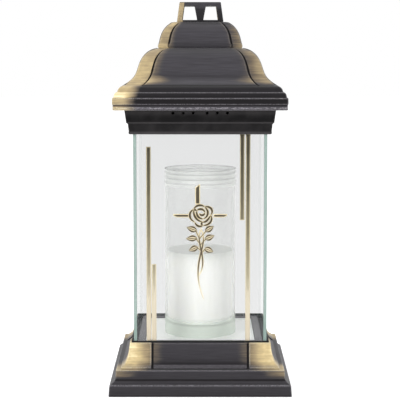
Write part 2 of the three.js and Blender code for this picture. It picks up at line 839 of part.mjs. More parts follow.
// The translucent candle cup: a raised floor over a hollow foot, and rings below the rim
function makeCup() {
  const { radius, wall, height, footHeight, floorThickness } = CUP;
  const outside = [[radius, 0]];
  for (const drop of [...CUP.ringDrops].reverse()) {
    const z = height - drop;
    outside.push([radius, z - CUP.ringHalfHeight]);
    outside.push([radius + CUP.ringProud, z]);
    outside.push([radius, z + CUP.ringHalfHeight]);
  }
  return turned(
    [
      [0, footHeight],
      [radius - wall - CUP.footDraft, footHeight],
      [radius - wall, 0],
      ...outside,
      [radius, height - CUP.rimHeight],
      [radius + CUP.rimFlare, height],
      [radius - wall, height],
      [radius - wall, footHeight + floorThickness],
      [0, footHeight + floorThickness],
    ],
    ROUND_SIDES,
  );
}

// The wax fill, standing on z = 0, with a bore for the wick and a pocket for its foot
function makeWax() {
  const radius = CUP.radius - CUP.wall - WAX.fit;
  const bore = WICK.radius + WICK.fit;
  const neck = bore + WICK.neckWall + WICK.fit;
  const neckTop = WICK.discSheet + WICK.neckHeight + WICK.fit;
  const pocket = WICK.discRadius + WICK.fit;
  const pocketTop = WICK.discSheet + WICK.fit;
  return turned(
    [
      [pocket, 0],
      [radius, 0],
      [radius, WAX.height - WAX.edgeRound],
      [radius - WAX.edgeRound, WAX.height],
      [bore, WAX.height],
      [bore, neckTop],
      [neck, neckTop],
      [neck, pocketTop],
      [pocket, pocketTop],
      [pocket, 0],
    ],
    ROUND_SIDES,
  );
}

// The sheet foot that holds the wick upright
function makeWickFoot() {
  const bore = WICK.radius + WICK.fit;
  const neck = bore + WICK.neckWall;
  const top = WICK.discSheet + WICK.neckHeight;
  return turned(
    [
      [0, 0],
      [WICK.discRadius, 0],
      [WICK.discRadius, WICK.discSheet],
      [neck, WICK.discSheet],
      [neck, top],
      [bore, top],
      [bore, WICK.discSheet],
      [0, WICK.discSheet],
    ],
    SMALL_ROUND_SIDES,
  );
}

// A flat piece of gold relief: a shape drawn in x and z, standing proud of y = 0 towards the front
function relief(shape) {
  const slab = new THREE.ExtrudeGeometry(shape, {
    depth: STRIPES.proud,
    bevelEnabled: false,
    curveSegments: LEAF_STEPS,
  });
  return slab.rotateX(Math.PI / 2);
}

function outlineShape(pairs) {
  return new THREE.Shape(pairs.map(([x, z]) => new THREE.Vector2(x, z)));
}

function makeStripe(place, foot, top) {
  const left = place - STRIPES.width / 2;
  const right = place + STRIPES.width / 2;
  return relief(outlineShape([[left, foot], [right, foot], [right, top], [left, top]]));
}

function makeCrossPost() {
  const left = -CROSS.postOffset - CROSS.width / 2;
  const right = -CROSS.postOffset + CROSS.width / 2;
  const slant = CROSS.tipSlant;
  return relief(outlineShape([
    [left, CROSS.postFoot], [right, CROSS.postFoot], [right, CROSS.postTop], [left, CROSS.postTop - slant],
  ]));
}

// One arm of the cross, side -1 or 1, tapered to its tip
function makeCrossArm(side, start) {
  const half = CROSS.armHeight / 2;
  const near = side * start;
  const far = side * CROSS.armReach;
  const shoulder = far - side * CROSS.tipSlant;
  const pairs = [
    [near, CROSS.armLift - half],
    [shoulder, CROSS.armLift - half],
    [far, CROSS.armLift + half - CROSS.armTaper],
    [far, CROSS.armLift + half],
    [near, CROSS.armLift + half],
  ];
  return relief(outlineShape(side > 0 ? pairs : pairs.reverse()));
}

// A point of the rose drawing, from its shares of the bloom's radius
function rosePoint([across, up]) {
  return new THREE.Vector2(ROSE.offset + across * ROSE.radius, ROSE.lift + up * ROSE.radius);
}

function roseCurve(controls) {
  return new THREE.CubicBezierCurve(...controls.map(rosePoint));
}

// A drawn stroke along a curve, widest in its middle and narrower at both ends
function stroke(curve, width, steps, endShare) {
  const left = [];
  const right = [];
  for (let i = 0; i <= steps; i++) {
    const at = i / steps;
    const p = curve.getPoint(at);
    const along = curve.getTangent(at);
    const half = (width / 2) * (endShare + (1 - endShare) * Math.sin(Math.PI * at));
    left.push(new THREE.Vector2(p.x - along.y * half, p.y + along.x * half));
    right.push(new THREE.Vector2(p.x + along.y * half, p.y - along.x * half));
  }
  return toSolid(relief(new THREE.Shape([...right, ...left.reverse()])));
}

// The bloom: outer petals, inner petals and a curled bud, all drawn strokes that meet
function makeBloom() {
  const petals = [...OUTER_PETAL_SHARES, ...INNER_PETAL_SHARES, ...BUD_SHARES];
  const strokes = petals.map((controls) =>
    stroke(roseCurve(controls), ROSE.strokeWidth, STROKE_STEPS, STROKE_END_SHARE),
  );
  return toGeometry(strokes.reduce((whole, piece) => whole.add(piece)));
}

// A pointed leaf from its foot to its tip
function leafSolid(foot, tip) {
  const along = tip.clone().sub(foot);
  const across = new THREE.Vector2(-along.y, along.x).normalize().multiplyScalar(ROSE.leafWidth);
  const middle = foot.clone().lerp(tip, LEAF_BELLY_SHARE);
  const high = middle.clone().add(across);
  const low = middle.clone().sub(across);
  const shape = new THREE.Shape();
  shape.moveTo(foot.x, foot.y);
  shape.quadraticCurveTo(low.x, low.y, tip.x, tip.y);
  shape.quadraticCurveTo(high.x, high.y, foot.x, foot.y);
  return toSolid(relief(shape));
}

// The spray: two crossing stems, and leaves on stalks that join the first stem
function makeSpray() {
  const stems = STEM_SHARES.map(roseCurve);
  const pieces = stems.map((curve) => stroke(curve, ROSE.stemWidth, STEM_STEPS, STROKE_END_SHARE));
  for (const [footAcross, footUp, tipAcross, tipUp, joint] of LEAF_SHARES) {
    const foot = rosePoint([footAcross, footUp]);
    const tip = rosePoint([tipAcross, tipUp]);
    const start = foot.clone().lerp(tip, STALK_REACH_SHARE);
    const stalk = new THREE.LineCurve(start, stems[0].getPoint(joint));
    pieces.push(leafSolid(foot, tip), stroke(stalk, ROSE.stalkWidth, 1, 1));
  }
  return toGeometry(pieces.reduce((whole, piece) => whole.add(piece)));
}

// Adds one named piece to a group
function addPiece(group, name, geometry, material, x = 0, y = 0, z = 0) {
  const mesh = new THREE.Mesh(geometry, material.clone());
  mesh.name = name;
  mesh.position.set(x, y, z);
  group.add(mesh);
  return mesh;
}

function addPanes(group) {
  const between = 2 * (GLASS.half - GLASS.thickness - GLASS.jointGap);
  const sides = [
    ["pane_front", between, 0],
    ["pane_right", 2 * GLASS.half, 1],
    ["pane_back", between, 2],
    ["pane_left", 2 * GLASS.half, 3],
  ];
  for (const [name, width, turn] of sides) {
    const holder = new THREE.Group();
    holder.rotation.z = (turn * Math.PI) / 2;
    addPiece(holder, name, makePane(width), FINISH.glass, 0, -GLASS.half, LEVEL.glassFoot);
    group.add(holder);
  }
}

function addOrnament(group) {
  const face = new THREE.Group();
  face.position.set(0, -GLASS.half, LEVEL.glassFoot);
  const foot = STRIPES.footLift;
  const top = GLASS.height - COLLAR.overlap - STRIPES.collarGap;
  const stripes = [
    ["stripe_left_long", STRIPES.leftLongInset - GLASS.half, foot, GLASS.height - STRIPES.leftLongDrop],
    ["stripe_left_short", STRIPES.leftShortInset - GLASS.half, foot, STRIPES.leftShortTop],
    ["stripe_right_long", GLASS.half - STRIPES.rightLongInset, foot, top],
    ["stripe_right_short", GLASS.half - STRIPES.rightShortInset, top - STRIPES.rightShortLength, top],
  ];
  for (const [name, place, low, high] of stripes) {
    addPiece(face, name, makeStripe(place, low, high), FINISH.gold);
  }
  addPiece(face, "cross_post", makeCrossPost(), FINISH.gold);
  addPiece(face, "cross_arm_left", makeCrossArm(-1, CROSS.leftStart), FINISH.gold);
  addPiece(face, "cross_arm_right", makeCrossArm(1, CROSS.rightStart), FINISH.gold);
  addPiece(face, "rose_bloom", makeBloom(), FINISH.gold);
  addPiece(face, "rose_spray", makeSpray(), FINISH.gold);
  group.add(face);
}

// Everything that stands still: plinth, tray, gasket, glass, ornament, collar and seal
function makeBody() {
  const body = new THREE.Group();
  addPiece(body, "base_plinth", makePlinth(), FINISH.plinth);
  addPiece(body, "floor_tray", makeTray(), FINISH.tray, 0, 0, LEVEL.glassFoot);
  addPiece(body, "glass_gasket", makeGasket(), FINISH.rubber, 0, 0, LEVEL.rim);
  addPanes(body);
  addOrnament(body);
  addPiece(body, "collar", makeCollar(), FINISH.collar, 0, 0, LEVEL.collarFoot);
  addPiece(body, "collar_seal", makeSeal(), FINISH.silicone, 0, 0, LEVEL.glassTop);
  return body;
}

// The lid, which rests on the collar: two roof tiers, the crown and the heat shield
function makeLid() {
  const lid = new THREE.Group();
  lid.position.z = LEVEL.seat;
  const neck = roofOutline().points.at(-1).z;
  const crownFoot = neck + turretOutline().points.at(-1).z;
  addPiece(lid, "roof_lower", makeRoof(), FINISH.lid);
  addPiece(lid, "roof_upper", makeTurret(), FINISH.lid, 0, 0, neck);
  addPiece(lid, "crown", makeCrown(), FINISH.lid, 0, 0, crownFoot);
  addPiece(lid, "heat_shield", makeShield(), FINISH.steel, 0, 0, SHIELD_LEVEL);
  atCorners(HALF.post, (x, y, i) =>
    addPiece(lid, `shield_screw_${i + 1}`, makeScrew(), FINISH.steel, x, y, SHIELD_LEVEL),
  );
  return lid;
}

// The loose candle insert, which stands on the tray
function makeInsert() {
  const insert = new THREE.Group();
  insert.position.z = LEVEL.trayTop;
  const waxFoot = CUP.footHeight + CUP.floorThickness;
  const wickFoot = waxFoot + WICK.discSheet;
  const wickTop = waxFoot + WAX.height + WICK.exposed;
  addPiece(insert, "insert_cup", makeCup(), FINISH.cup);
  addPiece(insert, "wax", makeWax(), FINISH.wax, 0, 0, waxFoot);
  addPiece(insert, "wick_foot", makeWickFoot(), FINISH.steel, 0, 0, waxFoot);
  addPiece(insert, "wick", rod(WICK.radius, wickFoot, wickTop, SMALL_ROUND_SIDES), FINISH.cotton);
  return insert;
}

const lantern = new THREE.Group();
lantern.name = "grave_lantern";
lantern.add(makeBody(), makeLid(), makeInsert());

export default lantern;
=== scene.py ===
"""The looks of a square grave lantern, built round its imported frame.

Every piece is in metres in the frame's own axes: Z is up, the front faces -Y and the ground is at zero.
Sizes in the classes are in millimetres, but for the studio's, which are in metres.
"""

import logging
import math
from collections.abc import Callable, Sequence
from dataclasses import dataclass, replace
from enum import Enum
from functools import cached_property, reduce
from typing import Any

import bmesh
import bpy
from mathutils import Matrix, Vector


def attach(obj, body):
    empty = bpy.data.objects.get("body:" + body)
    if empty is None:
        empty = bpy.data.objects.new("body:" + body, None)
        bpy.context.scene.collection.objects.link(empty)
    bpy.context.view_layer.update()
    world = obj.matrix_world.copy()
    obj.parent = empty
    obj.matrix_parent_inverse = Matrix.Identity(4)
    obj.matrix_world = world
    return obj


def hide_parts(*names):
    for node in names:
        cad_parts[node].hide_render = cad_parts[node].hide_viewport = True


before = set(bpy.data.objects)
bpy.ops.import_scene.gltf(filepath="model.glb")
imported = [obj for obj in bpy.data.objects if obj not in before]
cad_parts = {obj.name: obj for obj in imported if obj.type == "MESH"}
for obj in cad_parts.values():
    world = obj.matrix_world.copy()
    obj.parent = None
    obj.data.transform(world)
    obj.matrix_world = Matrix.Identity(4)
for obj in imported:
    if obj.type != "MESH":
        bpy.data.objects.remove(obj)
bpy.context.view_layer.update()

LOG = logging.getLogger("grave_lantern")
MM = 0.001
EDGE = "edge"
HALF_WIDTH = "half_width"

Node = bpy.types.Node
Socket = bpy.types.NodeSocket
Piece = bpy.types.Object
Finish = bpy.types.Material
Pair = tuple[float, float]
Three = tuple[float, float, float]
Four = tuple[float, float, float, float]
Tones = tuple[tuple[float, float | str], ...]


class Body(Enum):
    """The bodies of the frame that a piece can ride on."""

    STANDING = "lantern_body"
    LID = "lid"
    INSERT = "candle_insert"


class Slot(Enum):
    """The record's material slots."""

    PLINTH = "plinth_plastic"
    LID = "lid_plastic"
    COLLAR = "collar_plastic"
    GOLD = "gold_relief"
    TRAY = "tray_sheet"
    STEEL = "steel"
    GASKET = "gasket_rubber"
    CUP = "cup_plastic"
    WAX = "wax"
    COTTON = "cotton"


class Joining(Enum):
    """How one shape is joined with another."""

    CUT = "DIFFERENCE"
    FUSE = "UNION"


def mm(*sizes: float) -> tuple[float, ...]:
    """Millimetres as metres."""
    return tuple(size * MM for size in sizes)


# Shapes

SHARP_ANGLE = math.radians(40)
SHARP_TURN = math.radians(26)
ROUND_SHARE = 0.4
# Edge values: a hollow on a curved panel gets little painted shade, and the plan's rounded corners get a
# painted highlight
RELIEF_EDGE = 0.1
ARRIS_EDGE = 0.5
ARRIS_REACH = 0.8
PANEL_SHARE = 0.8
CORNER_STEPS = 4
BEVEL_STEPS = 3
MERGE_DISTANCE = 0.01 * MM
FLAT_TURN = math.radians(1)


@dataclass(frozen=True)
class Station:
    """One level of a moulding: half width, height, share of the panel's relief, and how sharp its edge is.

    The edge is 1 on an outer corner, which a hand rubs and the materials paint with a highlight, and -1 in
    a hollow, where the dark paint stays and the materials paint shade.
    """

    half: float
    z: float
    relief: float = 0.0
    edge: float = 0.0


@dataclass(frozen=True)
class Panel:
    """A raised or sunk panel on each side of a moulding.

    The stops run from the corner band to the panel: how far outside the panel's edge, how proud, and the
    edge value of a station. A seam has -2, so that its painted shade stays dark in thick gold too.
    """

    edge_at: Callable[[float], float]
    stops: tuple[Three, ...]


@dataclass(frozen=True)
class Shape:
    """Corners and faces of a mesh in metres, with a mark on each corner and loose edges if it has them."""

    corners: list[Vector]
    faces: list[tuple[int, ...]]
    marks: Sequence[float] = ()
    lines: Sequence[tuple[int, int]] = ()


class Profile:
    """The side outline of a square moulding, drawn point by point in millimetres."""

    def __init__(self, half: float, z: float) -> None:
        """Starts the outline at a half width and a height."""
        self.stations = [Station(half, z)]

    def to(self, half: float, z: float, relief: float = 0.0) -> "Profile":
        """Draws a straight line to a point and returns the outline."""
        self.stations.append(Station(half, z, relief))
        return self

    def through(self, points: Sequence[Pair]) -> "Profile":
        """Draws straight lines through several points.

        Args:
            points: Half width and height of each.

        Returns:
            The outline itself.
        """
        for half, z in points:
            self.to(half, z)
        return self

    def curve(self, shares: Sequence[Pair], origin: Pair, size: Pair, steps: int) -> "Profile":
        """Draws a cubic curve that takes the panel's whole relief.

        Args:
            shares: Four controls as shares of the run and the rise.
            origin: Half width and height that the shares count from.
            size: The run and the rise.
            steps: Number of straight steps.

        Returns:
            The outline itself.
        """
        controls = [Vector((origin[0] + r * size[0], origin[1] + h * size[1])) for r, h in shares]
        for i in range(1, steps + 1):
            self.to(*bezier(controls, i / steps), 1.0)
        return self

    def quarter_round(self, run: float, rise: float, steps: int) -> "Profile":
        """Draws a convex quarter round.

        Args:
            run: How far it goes in.
            rise: How far it goes up.
            steps: Number of straight steps.

        Returns:
            The outline itself.
        """
        start = self.stations[-1]
        for i in range(1, steps + 1):
            turn = i / steps * math.pi / 2
            self.to(start.half - run * (1 - math.cos(turn)), start.z + rise * math.sin(turn))
        return self

    def back_inside(self, wall: float) -> list[Pair]:
        """Ends the curve's relief at its last point and works out its inner side.

        Args:
            wall: How much further in and down the inner side lies.

        Returns:
            Every other point of the inner side, from the top down.
        """
        last = self.stations[-1]
        curved = [s for s in self.stations if s.relief][1::2]
        self.stations[-1] = Station(last.half, last.z)
        return [(s.half - wall, s.z - wall) for s in reversed(curved)]

    def softened(self, radius: float, closed: bool) -> list[Station]:
        """Rounds the sharp corners of the outline.

        Args:
            radius: How far from a corner its rounding starts.
            closed: Whether the last point joins the first.

        Returns:
            The rounded outline's stations, with one more on each long straight beside a corner.
        """
        given, soft = self.stations, []
        for i, here in enumerate(given):
            before, after = given[i - 1], given[(i + 1) % len(given)]
            back = Vector((before.half - here.half, before.z - here.z))
            ahead = Vector((after.half - here.half, after.z - here.z))
            at_end = not closed and i in (0, len(given) - 1)
            if at_end or math.pi - back.angle(ahead) < SHARP_TURN:
                soft.append(here)
                continue
            reach = min(radius, ROUND_SHARE * back.length, ROUND_SHARE * ahead.length)
            tone = 1.0 if ahead.x * back.y > ahead.y * back.x else -1.0
            tone *= RELIEF_EDGE if here.relief and tone < 0 else 1.0
            first = replace(part_way(here, before, reach / back.length), edge=tone / 2)
            last = replace(part_way(here, after, reach / ahead.length), edge=tone / 2)
            middle = replace(part_way(part_way(first, last, 0.5), here, 0.5), edge=tone)
            if back.length > 4 * reach:
                soft.append(part_way(here, before, 2 * reach / back.length))
            soft += [first, middle, last]
            if ahead.length > 4 * reach:
                soft.append(part_way(here, after, 2 * reach / ahead.length))
        return soft


def part_way(start: Station, end: Station, share: float) -> Station:
    """The station at a share of the way from one to another."""
    return Station(*(a + (b - a) * share for a, b in (
        (start.half, end.half), (start.z, end.z), (start.relief, end.relief))))


def bezier(controls: Sequence[Vector], at: float) -> Vector:
    """A point of a cubic curve.

    Args:
        controls: The curve's four controls.
        at: How far along it the point lies, from 0 to 1.

    Returns:
        The point.
    """
    rest = 1 - at
    weights = (rest**3, 3 * rest * rest * at, 3 * rest * at * at, at**3)
    return sum((c * w for c, w in zip(controls, weights)), controls[0] * 0)


def square_ring(
    station: Station, out: Vector, corner: float, panel: Panel | None,
) -> tuple[list[Vector], list[float]]:
    """One level of a square moulding with rounded corners, counter-clockwise from above.

    Args:
        station: The level.
        out: The way that the outline faces there, as half width and height.
        corner: Radius of the corners.
        panel: Its panels, if it has any.

    Returns:
        The ring's corners in metres and their edge values.
    """
    radius = min(corner, station.half / 4)
    reach = station.half - radius
    across = [(reach, 0.0, station.edge), (reach - min(ARRIS_REACH, radius), 0.0, station.edge)]
    if panel:
        edge = min(panel.edge_at(station.half), PANEL_SHARE * station.half)
        across += [
            (edge + offset, proud * station.relief, tone * station.relief or station.edge)
            for offset, proud, tone in panel.stops]
    side = [(-along, proud, tone) for along, proud, tone in across]
    side += [(0.0, across[-1][1], station.edge)] + across[::-1]
    flat = [
        Vector((along, -(station.half + proud * out.x), station.z + proud * out.y))
        for along, proud, _ in side]
    tones = [tone for _, _, tone in side]
    for step in range(1, CORNER_STEPS):
        turn = -math.pi / 2 + step / CORNER_STEPS * math.pi / 2
        flat.append(Vector((reach + radius * math.cos(turn), radius * math.sin(turn) - reach, station.z)))
        tones.append(min(1.0, station.edge + ARRIS_EDGE))
    ring = []
    for _ in range(4):
        ring += [p * MM for p in flat]
        flat = [Vector((-p.y, p.x, p.z)) for p in flat]
    return ring, tones * 4


def loft(rings: Sequence[Sequence[Vector]], closed: bool = False) -> Shape:
    """A skin over stacked rings, each counter-clockwise as seen from the next.

    Args:
        rings: The rings, all with the same number of corners.
        closed: Whether the last ring joins the first; otherwise both ends are capped.

    Returns:
        The closed shape.
    """
    count, levels = len(rings[0]), len(rings)
    faces = []
    for level in range(levels if closed else levels - 1):
        low, high = level * count, (level + 1) % levels * count
        for i in range(count):
            after = (i + 1) % count
            faces.append((low + i, low + after, high + after, high + i))
    if not closed:
        faces.append(tuple(reversed(range(count))))
        faces.append(tuple(range((levels - 1) * count, levels * count)))
    return Shape([p for ring in rings for p in ring], faces)


def square_moulding(
    stations: Sequence[Station], closed: bool, corner: float, panel: Panel | None = None,
) -> Shape:
    """A moulding of square plan from its outline's stations.

    Args:
        stations: The outline, up on the outside and down on the inside.
        closed: Whether the outline joins up; otherwise its ends are closed by flat faces.
        corner: Radius of the plan's corners in millimetres.
        panel: The panels on its sides, if it has any.

    Returns:
        The shape in metres, marked with its edge values.
    """
    rings, edges = [], []
    for i, here in enumerate(stations):
        before = stations[i - 1] if i and stations[i - 1].relief else here
        after = stations[i + 1] if i + 1 < len(stations) and stations[i + 1].relief else here
        out = Vector((after.z - before.z, before.half - after.half))
        out = out.normalized() if here.relief and out.length else Vector((0.0, 0.0))
        ring, tones = square_ring(here, out, corner, panel)
        rings.append(ring)
        edges += tones
    return replace(loft(rings, closed), marks=edges)


def put(name: str, data: Any) -> Piece:
    """Puts a mesh, a lamp or a camera in the scene, at the origin.

    Args:
        name: Name of the object.
        data: The mesh, the lamp or the camera.

    Returns:
        The object.
    """
    piece = bpy.data.objects.new(name, data)
    bpy.context.scene.collection.objects.link(piece)
    return piece


def draw(name: str, shapes: Sequence[Shape], mark: str) -> bpy.types.Mesh:
    """Makes one mesh of several shapes.

    Args:
        name: Its name.
        shapes: What it is made of.
        mark: Name of the attribute that holds the corners' marks.

    Returns:
        The mesh.
    """
    mesh = bpy.data.meshes.new(name)
    corners, faces, lines, marks = [], [], [], []
    for shape in shapes:
        start = len(corners)
        corners += shape.corners
        marks += shape.marks
        faces += [tuple(start + i for i in face) for face in shape.faces]
        lines += [(start + a, start + b) for a, b in shape.lines]
    mesh.from_pydata(corners, lines, faces)
    if marks:
        mesh.attributes.new(mark, "FLOAT", "POINT").data.foreach_set("value", marks)
    return mesh


def smoothed(name: str, mesh: bpy.types.Mesh) -> Piece:
    """Puts a mesh in the scene, smooth but for its sharp edges.

    Args:
        name: Name of the object.
        mesh: The mesh.

    Returns:
        The object.
    """
    mesh.validate()
    mesh.shade_smooth()
    mesh.set_sharp_from_angle(angle=SHARP_ANGLE)
    return put(name, mesh)


def new_piece(name: str, *shapes: Shape) -> Piece:
    """Makes one object of several shapes, smooth but for its sharp edges."""
    return smoothed(name, draw(name, shapes, EDGE))


def from_bmesh(name: str, shape: bmesh.types.BMesh) -> Piece:
    """Turns a worked mesh into an object and frees it.

    Args:
        name: Name of the object.
        shape: The worked mesh.

    Returns:
        The object.
    """
    mesh = bpy.data.meshes.new(name)
    shape.to_mesh(mesh)
    shape.free()
    return smoothed(name, mesh)


def applied(piece: Piece) -> bpy.types.Mesh:
    """The mesh that a piece's modifiers make."""
    return bpy.data.meshes.new_from_object(piece.evaluated_get(bpy.context.evaluated_depsgraph_get()))


def node_copy(name: str, node: str, bevel: float) -> Piece:
    """A merged copy of a CAD node with rounded edges.

    Args:
        name: Name of the copy.
        node: The CAD node.
        bevel: Width of the rounding in millimetres.

    Returns:
        The new object.
    """
    shape = bmesh.new()
    shape.from_mesh(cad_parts[node].data)
    bmesh.ops.remove_doubles(shape, verts=shape.verts, dist=MERGE_DISTANCE)
    bmesh.ops.dissolve_limit(shape, angle_limit=FLAT_TURN, verts=shape.verts, edges=shape.edges)
    edges = [e for e in shape.edges if len(e.link_faces) == 2 and e.calc_face_angle() > SHARP_TURN]
    bmesh.ops.bevel(
        shape, geom=edges, offset=bevel * MM, segments=BEVEL_STEPS, profile=0.5, affect="EDGES",
        clamp_overlap=True)
    return from_bmesh(name, shape)


def combine(piece: Piece, tool: Piece, joining: Joining) -> Piece:
    """Cuts a closed tool out of a piece or fuses it on, and removes the tool.

    Args:
        piece: The piece.
        tool: The tool.
        joining: Whether it is cut out or fused on.

    Returns:
        The changed piece.
    """
    modifier = piece.modifiers.new("combine", "BOOLEAN")
    modifier.operation, modifier.solver, modifier.object = joining.value, "EXACT", tool
    name, mesh = piece.name, applied(piece)
    for used in (piece, tool):
        bpy.data.objects.remove(used)
    return smoothed(name, mesh)


def join(*pieces: Piece) -> Piece:
    """Puts several pieces into one mesh.

    Args:
        *pieces: The pieces, of which the first gives its name.

    Returns:
        The joined piece.
    """
    name, whole = pieces[0].name, bmesh.new()
    for piece in pieces:
        whole.from_mesh(piece.data)
        bpy.data.objects.remove(piece)
    return from_bmesh(name, whole)


# Node trees

SHADOW_VEIL = 0.1


class Kind(Enum):
    """Nodes that the trees use often: the type, and a setting with its value."""

    ADD = "ShaderNodeMath", "operation", "ADD"
    SUBTRACT = "ShaderNodeMath", "operation", "SUBTRACT"
    MULTIPLY = "ShaderNodeMath", "operation", "MULTIPLY"
    MULTIPLY_ADD = "ShaderNodeMath", "operation", "MULTIPLY_ADD"
    DIVIDE = "ShaderNodeMath", "operation", "DIVIDE"
    POWER = "ShaderNodeMath", "operation", "POWER"
    LEAST = "ShaderNodeMath", "operation", "MINIMUM"
    MOST = "ShaderNodeMath", "operation", "MAXIMUM"
    SIZE = "ShaderNodeMath", "operation", "ABSOLUTE"
    NEAR = "ShaderNodeMath", "operation", "COMPARE"
    PAST = "ShaderNodeMath", "operation", "GREATER_THAN"
    RANGE = "ShaderNodeMapRange", "interpolation_type", "LINEAR"
    SOFT_RANGE = "ShaderNodeMapRange", "interpolation_type", "SMOOTHSTEP"
    BLEND = "ShaderNodeMix", "data_type", "RGBA"
    BETWEEN = "ShaderNodeMix", "data_type", "FLOAT"


def linear(code: str) -> Four:
    """Turns an sRGB colour to linear.

    Args:
        code: Its hex code.

    Returns:
        Its linear red, green and blue, and a full alpha.
    """
    shares = [int(code[i : i + 2], 16) / 255 for i in (0, 2, 4)]
    red, green, blue = (s / 12.92 if s <= 0.04045 else ((s + 0.055) / 1.055) ** 2.4 for s in shares)
    return red, green, blue, 1.0


class Recipe:
    """A tree of nodes that is being built."""

    def __init__(self, tree: bpy.types.NodeTree) -> None:
        """Takes the tree."""
        self.tree = tree

    def give(self, socket: Socket, value: Any) -> None:
        """Gives a socket a link or a value of its own.

        Args:
            socket: The socket.
            value: A node, whose first output is linked, or a socket, a hex code or a plain value.
        """
        if isinstance(value, Node):
            value = next(s for s in value.outputs if s.enabled)
        if isinstance(value, Socket):
            self.tree.links.new(value, socket)
        elif socket.type == "RGBA" and isinstance(value, str):
            socket.default_value = linear(value)
        else:
            socket.default_value = value

    def add(self, kind: Kind | str, *values: Any, **settings: Any) -> Node:
        """Adds a node with its settings and links.

        Args:
            kind: What it is, or its own type.
            *values: What its sockets get, in order, or by name in a dict.
            **settings: The node's own settings, and a ramp's stops as positions and hex codes or shares.

        Returns:
            The node.
        """
        if isinstance(kind, Kind):
            kind, setting, choice = kind.value
            settings = {setting: choice, **settings}
        node = self.tree.nodes.new(kind)
        stops = settings.pop("stops", ())
        for name, value in settings.items():
            setattr(node, name, value)
        for i, (position, tone) in enumerate(stops):
            steps = node.color_ramp.elements
            step = steps[i] if i < 2 else steps.new(position)
            step.position = position
            step.color = linear(tone) if isinstance(tone, str) else (tone, tone, tone, 1.0)
        shown = [s for s in node.inputs if s.enabled]
        for i, value in enumerate(values):
            if isinstance(value, dict):
                for name, given in value.items():
                    self.give(next(s for s in shown if s.name == name), given)
            else:
                self.give(shown[i], value)
        return node

    def chain(self, kind: Kind, *values: Any) -> Node:
        """Joins several values, one after the other, by the same sum."""
        return reduce(lambda joined, value: self.add(kind, joined, value), values)


class Surface(Recipe):
    """A material that is being built."""

    def __init__(self, name: str, **values: Any) -> None:
        """Starts the material.

        Args:
            name: Its name.
            **values: Values of the shader's own sockets, with underscores for spaces.
        """
        self.material = bpy.data.materials.new(name)
        self.material.use_nodes = True
        super().__init__(self.material.node_tree)
        self.finish(**values)

    def finish(self, **values: Any) -> Finish:
        """Gives the shader's sockets values or links.

        Args:
            **values: What each socket gets, with underscores for spaces in its name.

        Returns:
            The material.
        """
        shader = self.tree.nodes["Principled BSDF"]
        for name, value in values.items():
            self.give(shader.inputs[name.replace("_", " ")], value)
        return self.material

    @cached_property
    def place(self) -> Socket:
        """The Object coordinates."""
        return self.add("ShaderNodeTexCoord").outputs["Object"]

    @cached_property
    def axes(self) -> bpy.types.bpy_prop_collection:
        """The Object coordinates' X, Y and Z."""
        return self.add("ShaderNodeSeparateXYZ", self.place).outputs

    @cached_property
    def edge(self) -> Socket:
        """The edge value that the mouldings carry."""
        return self.add("ShaderNodeAttribute", attribute_name=EDGE).outputs["Fac"]

    def grain(self, size: Three, detail: float = 3.0) -> Node:
        """Noise whose spots have a real size.

        Args:
            size: Rough width, depth and height of a spot in millimetres.
            detail: Number of finer layers.

        Returns:
            The noise node.
        """
        spots = tuple(1 / (s * MM) for s in size)
        scaled = self.add("ShaderNodeMapping", {"Vector": self.place, "Scale": spots})
        return self.add("ShaderNodeTexNoise", {"Vector": scaled, "Scale": 1.0, "Detail": detail})

    def by_height(self, stops: Tones) -> Node:
        """A tone that changes with height.

        Args:
            stops: Heights in millimetres, from low to high, with a hex code or a share from 0 to 1.

        Returns:
            The tone's node.
        """
        low, high = stops[0][0], stops[-1][0]
        rise = self.add(Kind.RANGE, self.axes["Z"], *mm(low, high))
        shares = [((z - low) / (high - low), tone) for z, tone in stops]
        return self.add("ShaderNodeValToRGB", rise, stops=shares)

    def between_heights(self, low: float, high: float) -> Node:
        """1 between two heights in millimetres, and 0 elsewhere."""
        return self.add(Kind.NEAR, self.axes["Z"], *mm((low + high) / 2, (high - low) / 2))

    def off_middle(self) -> tuple[Node, Node]:
        """How far a point is from the middle, across and in depth."""
        return self.add(Kind.SIZE, self.axes["X"]), self.add(Kind.SIZE, self.axes["Y"])

    def corner_place(self) -> tuple[Node, Node]:
        """How far a point is along its side from the middle, and that side's half width."""
        both = self.off_middle()
        return self.add(Kind.LEAST, *both), self.add(Kind.MOST, *both)

    def bumps(self, height: Node, strength: float, depth: float) -> Node:
        """A relief too fine for the mesh, from its height, its strength and its depth in millimetres."""
        return self.add("ShaderNodeBump", {"Height": height, "Strength": strength, "Distance": depth * MM})

    def lit_through(self, alpha: Node) -> Node:
        """A wall's veil, thin for shadow rays, because a clear or milky wall lets light through."""
        shadow = self.add("ShaderNodeLightPath").outputs["Is Shadow Ray"]
        return self.add(Kind.MULTIPLY, alpha, self.add(Kind.RANGE, shadow, 0.0, 1.0, 1.0, SHADOW_VEIL))


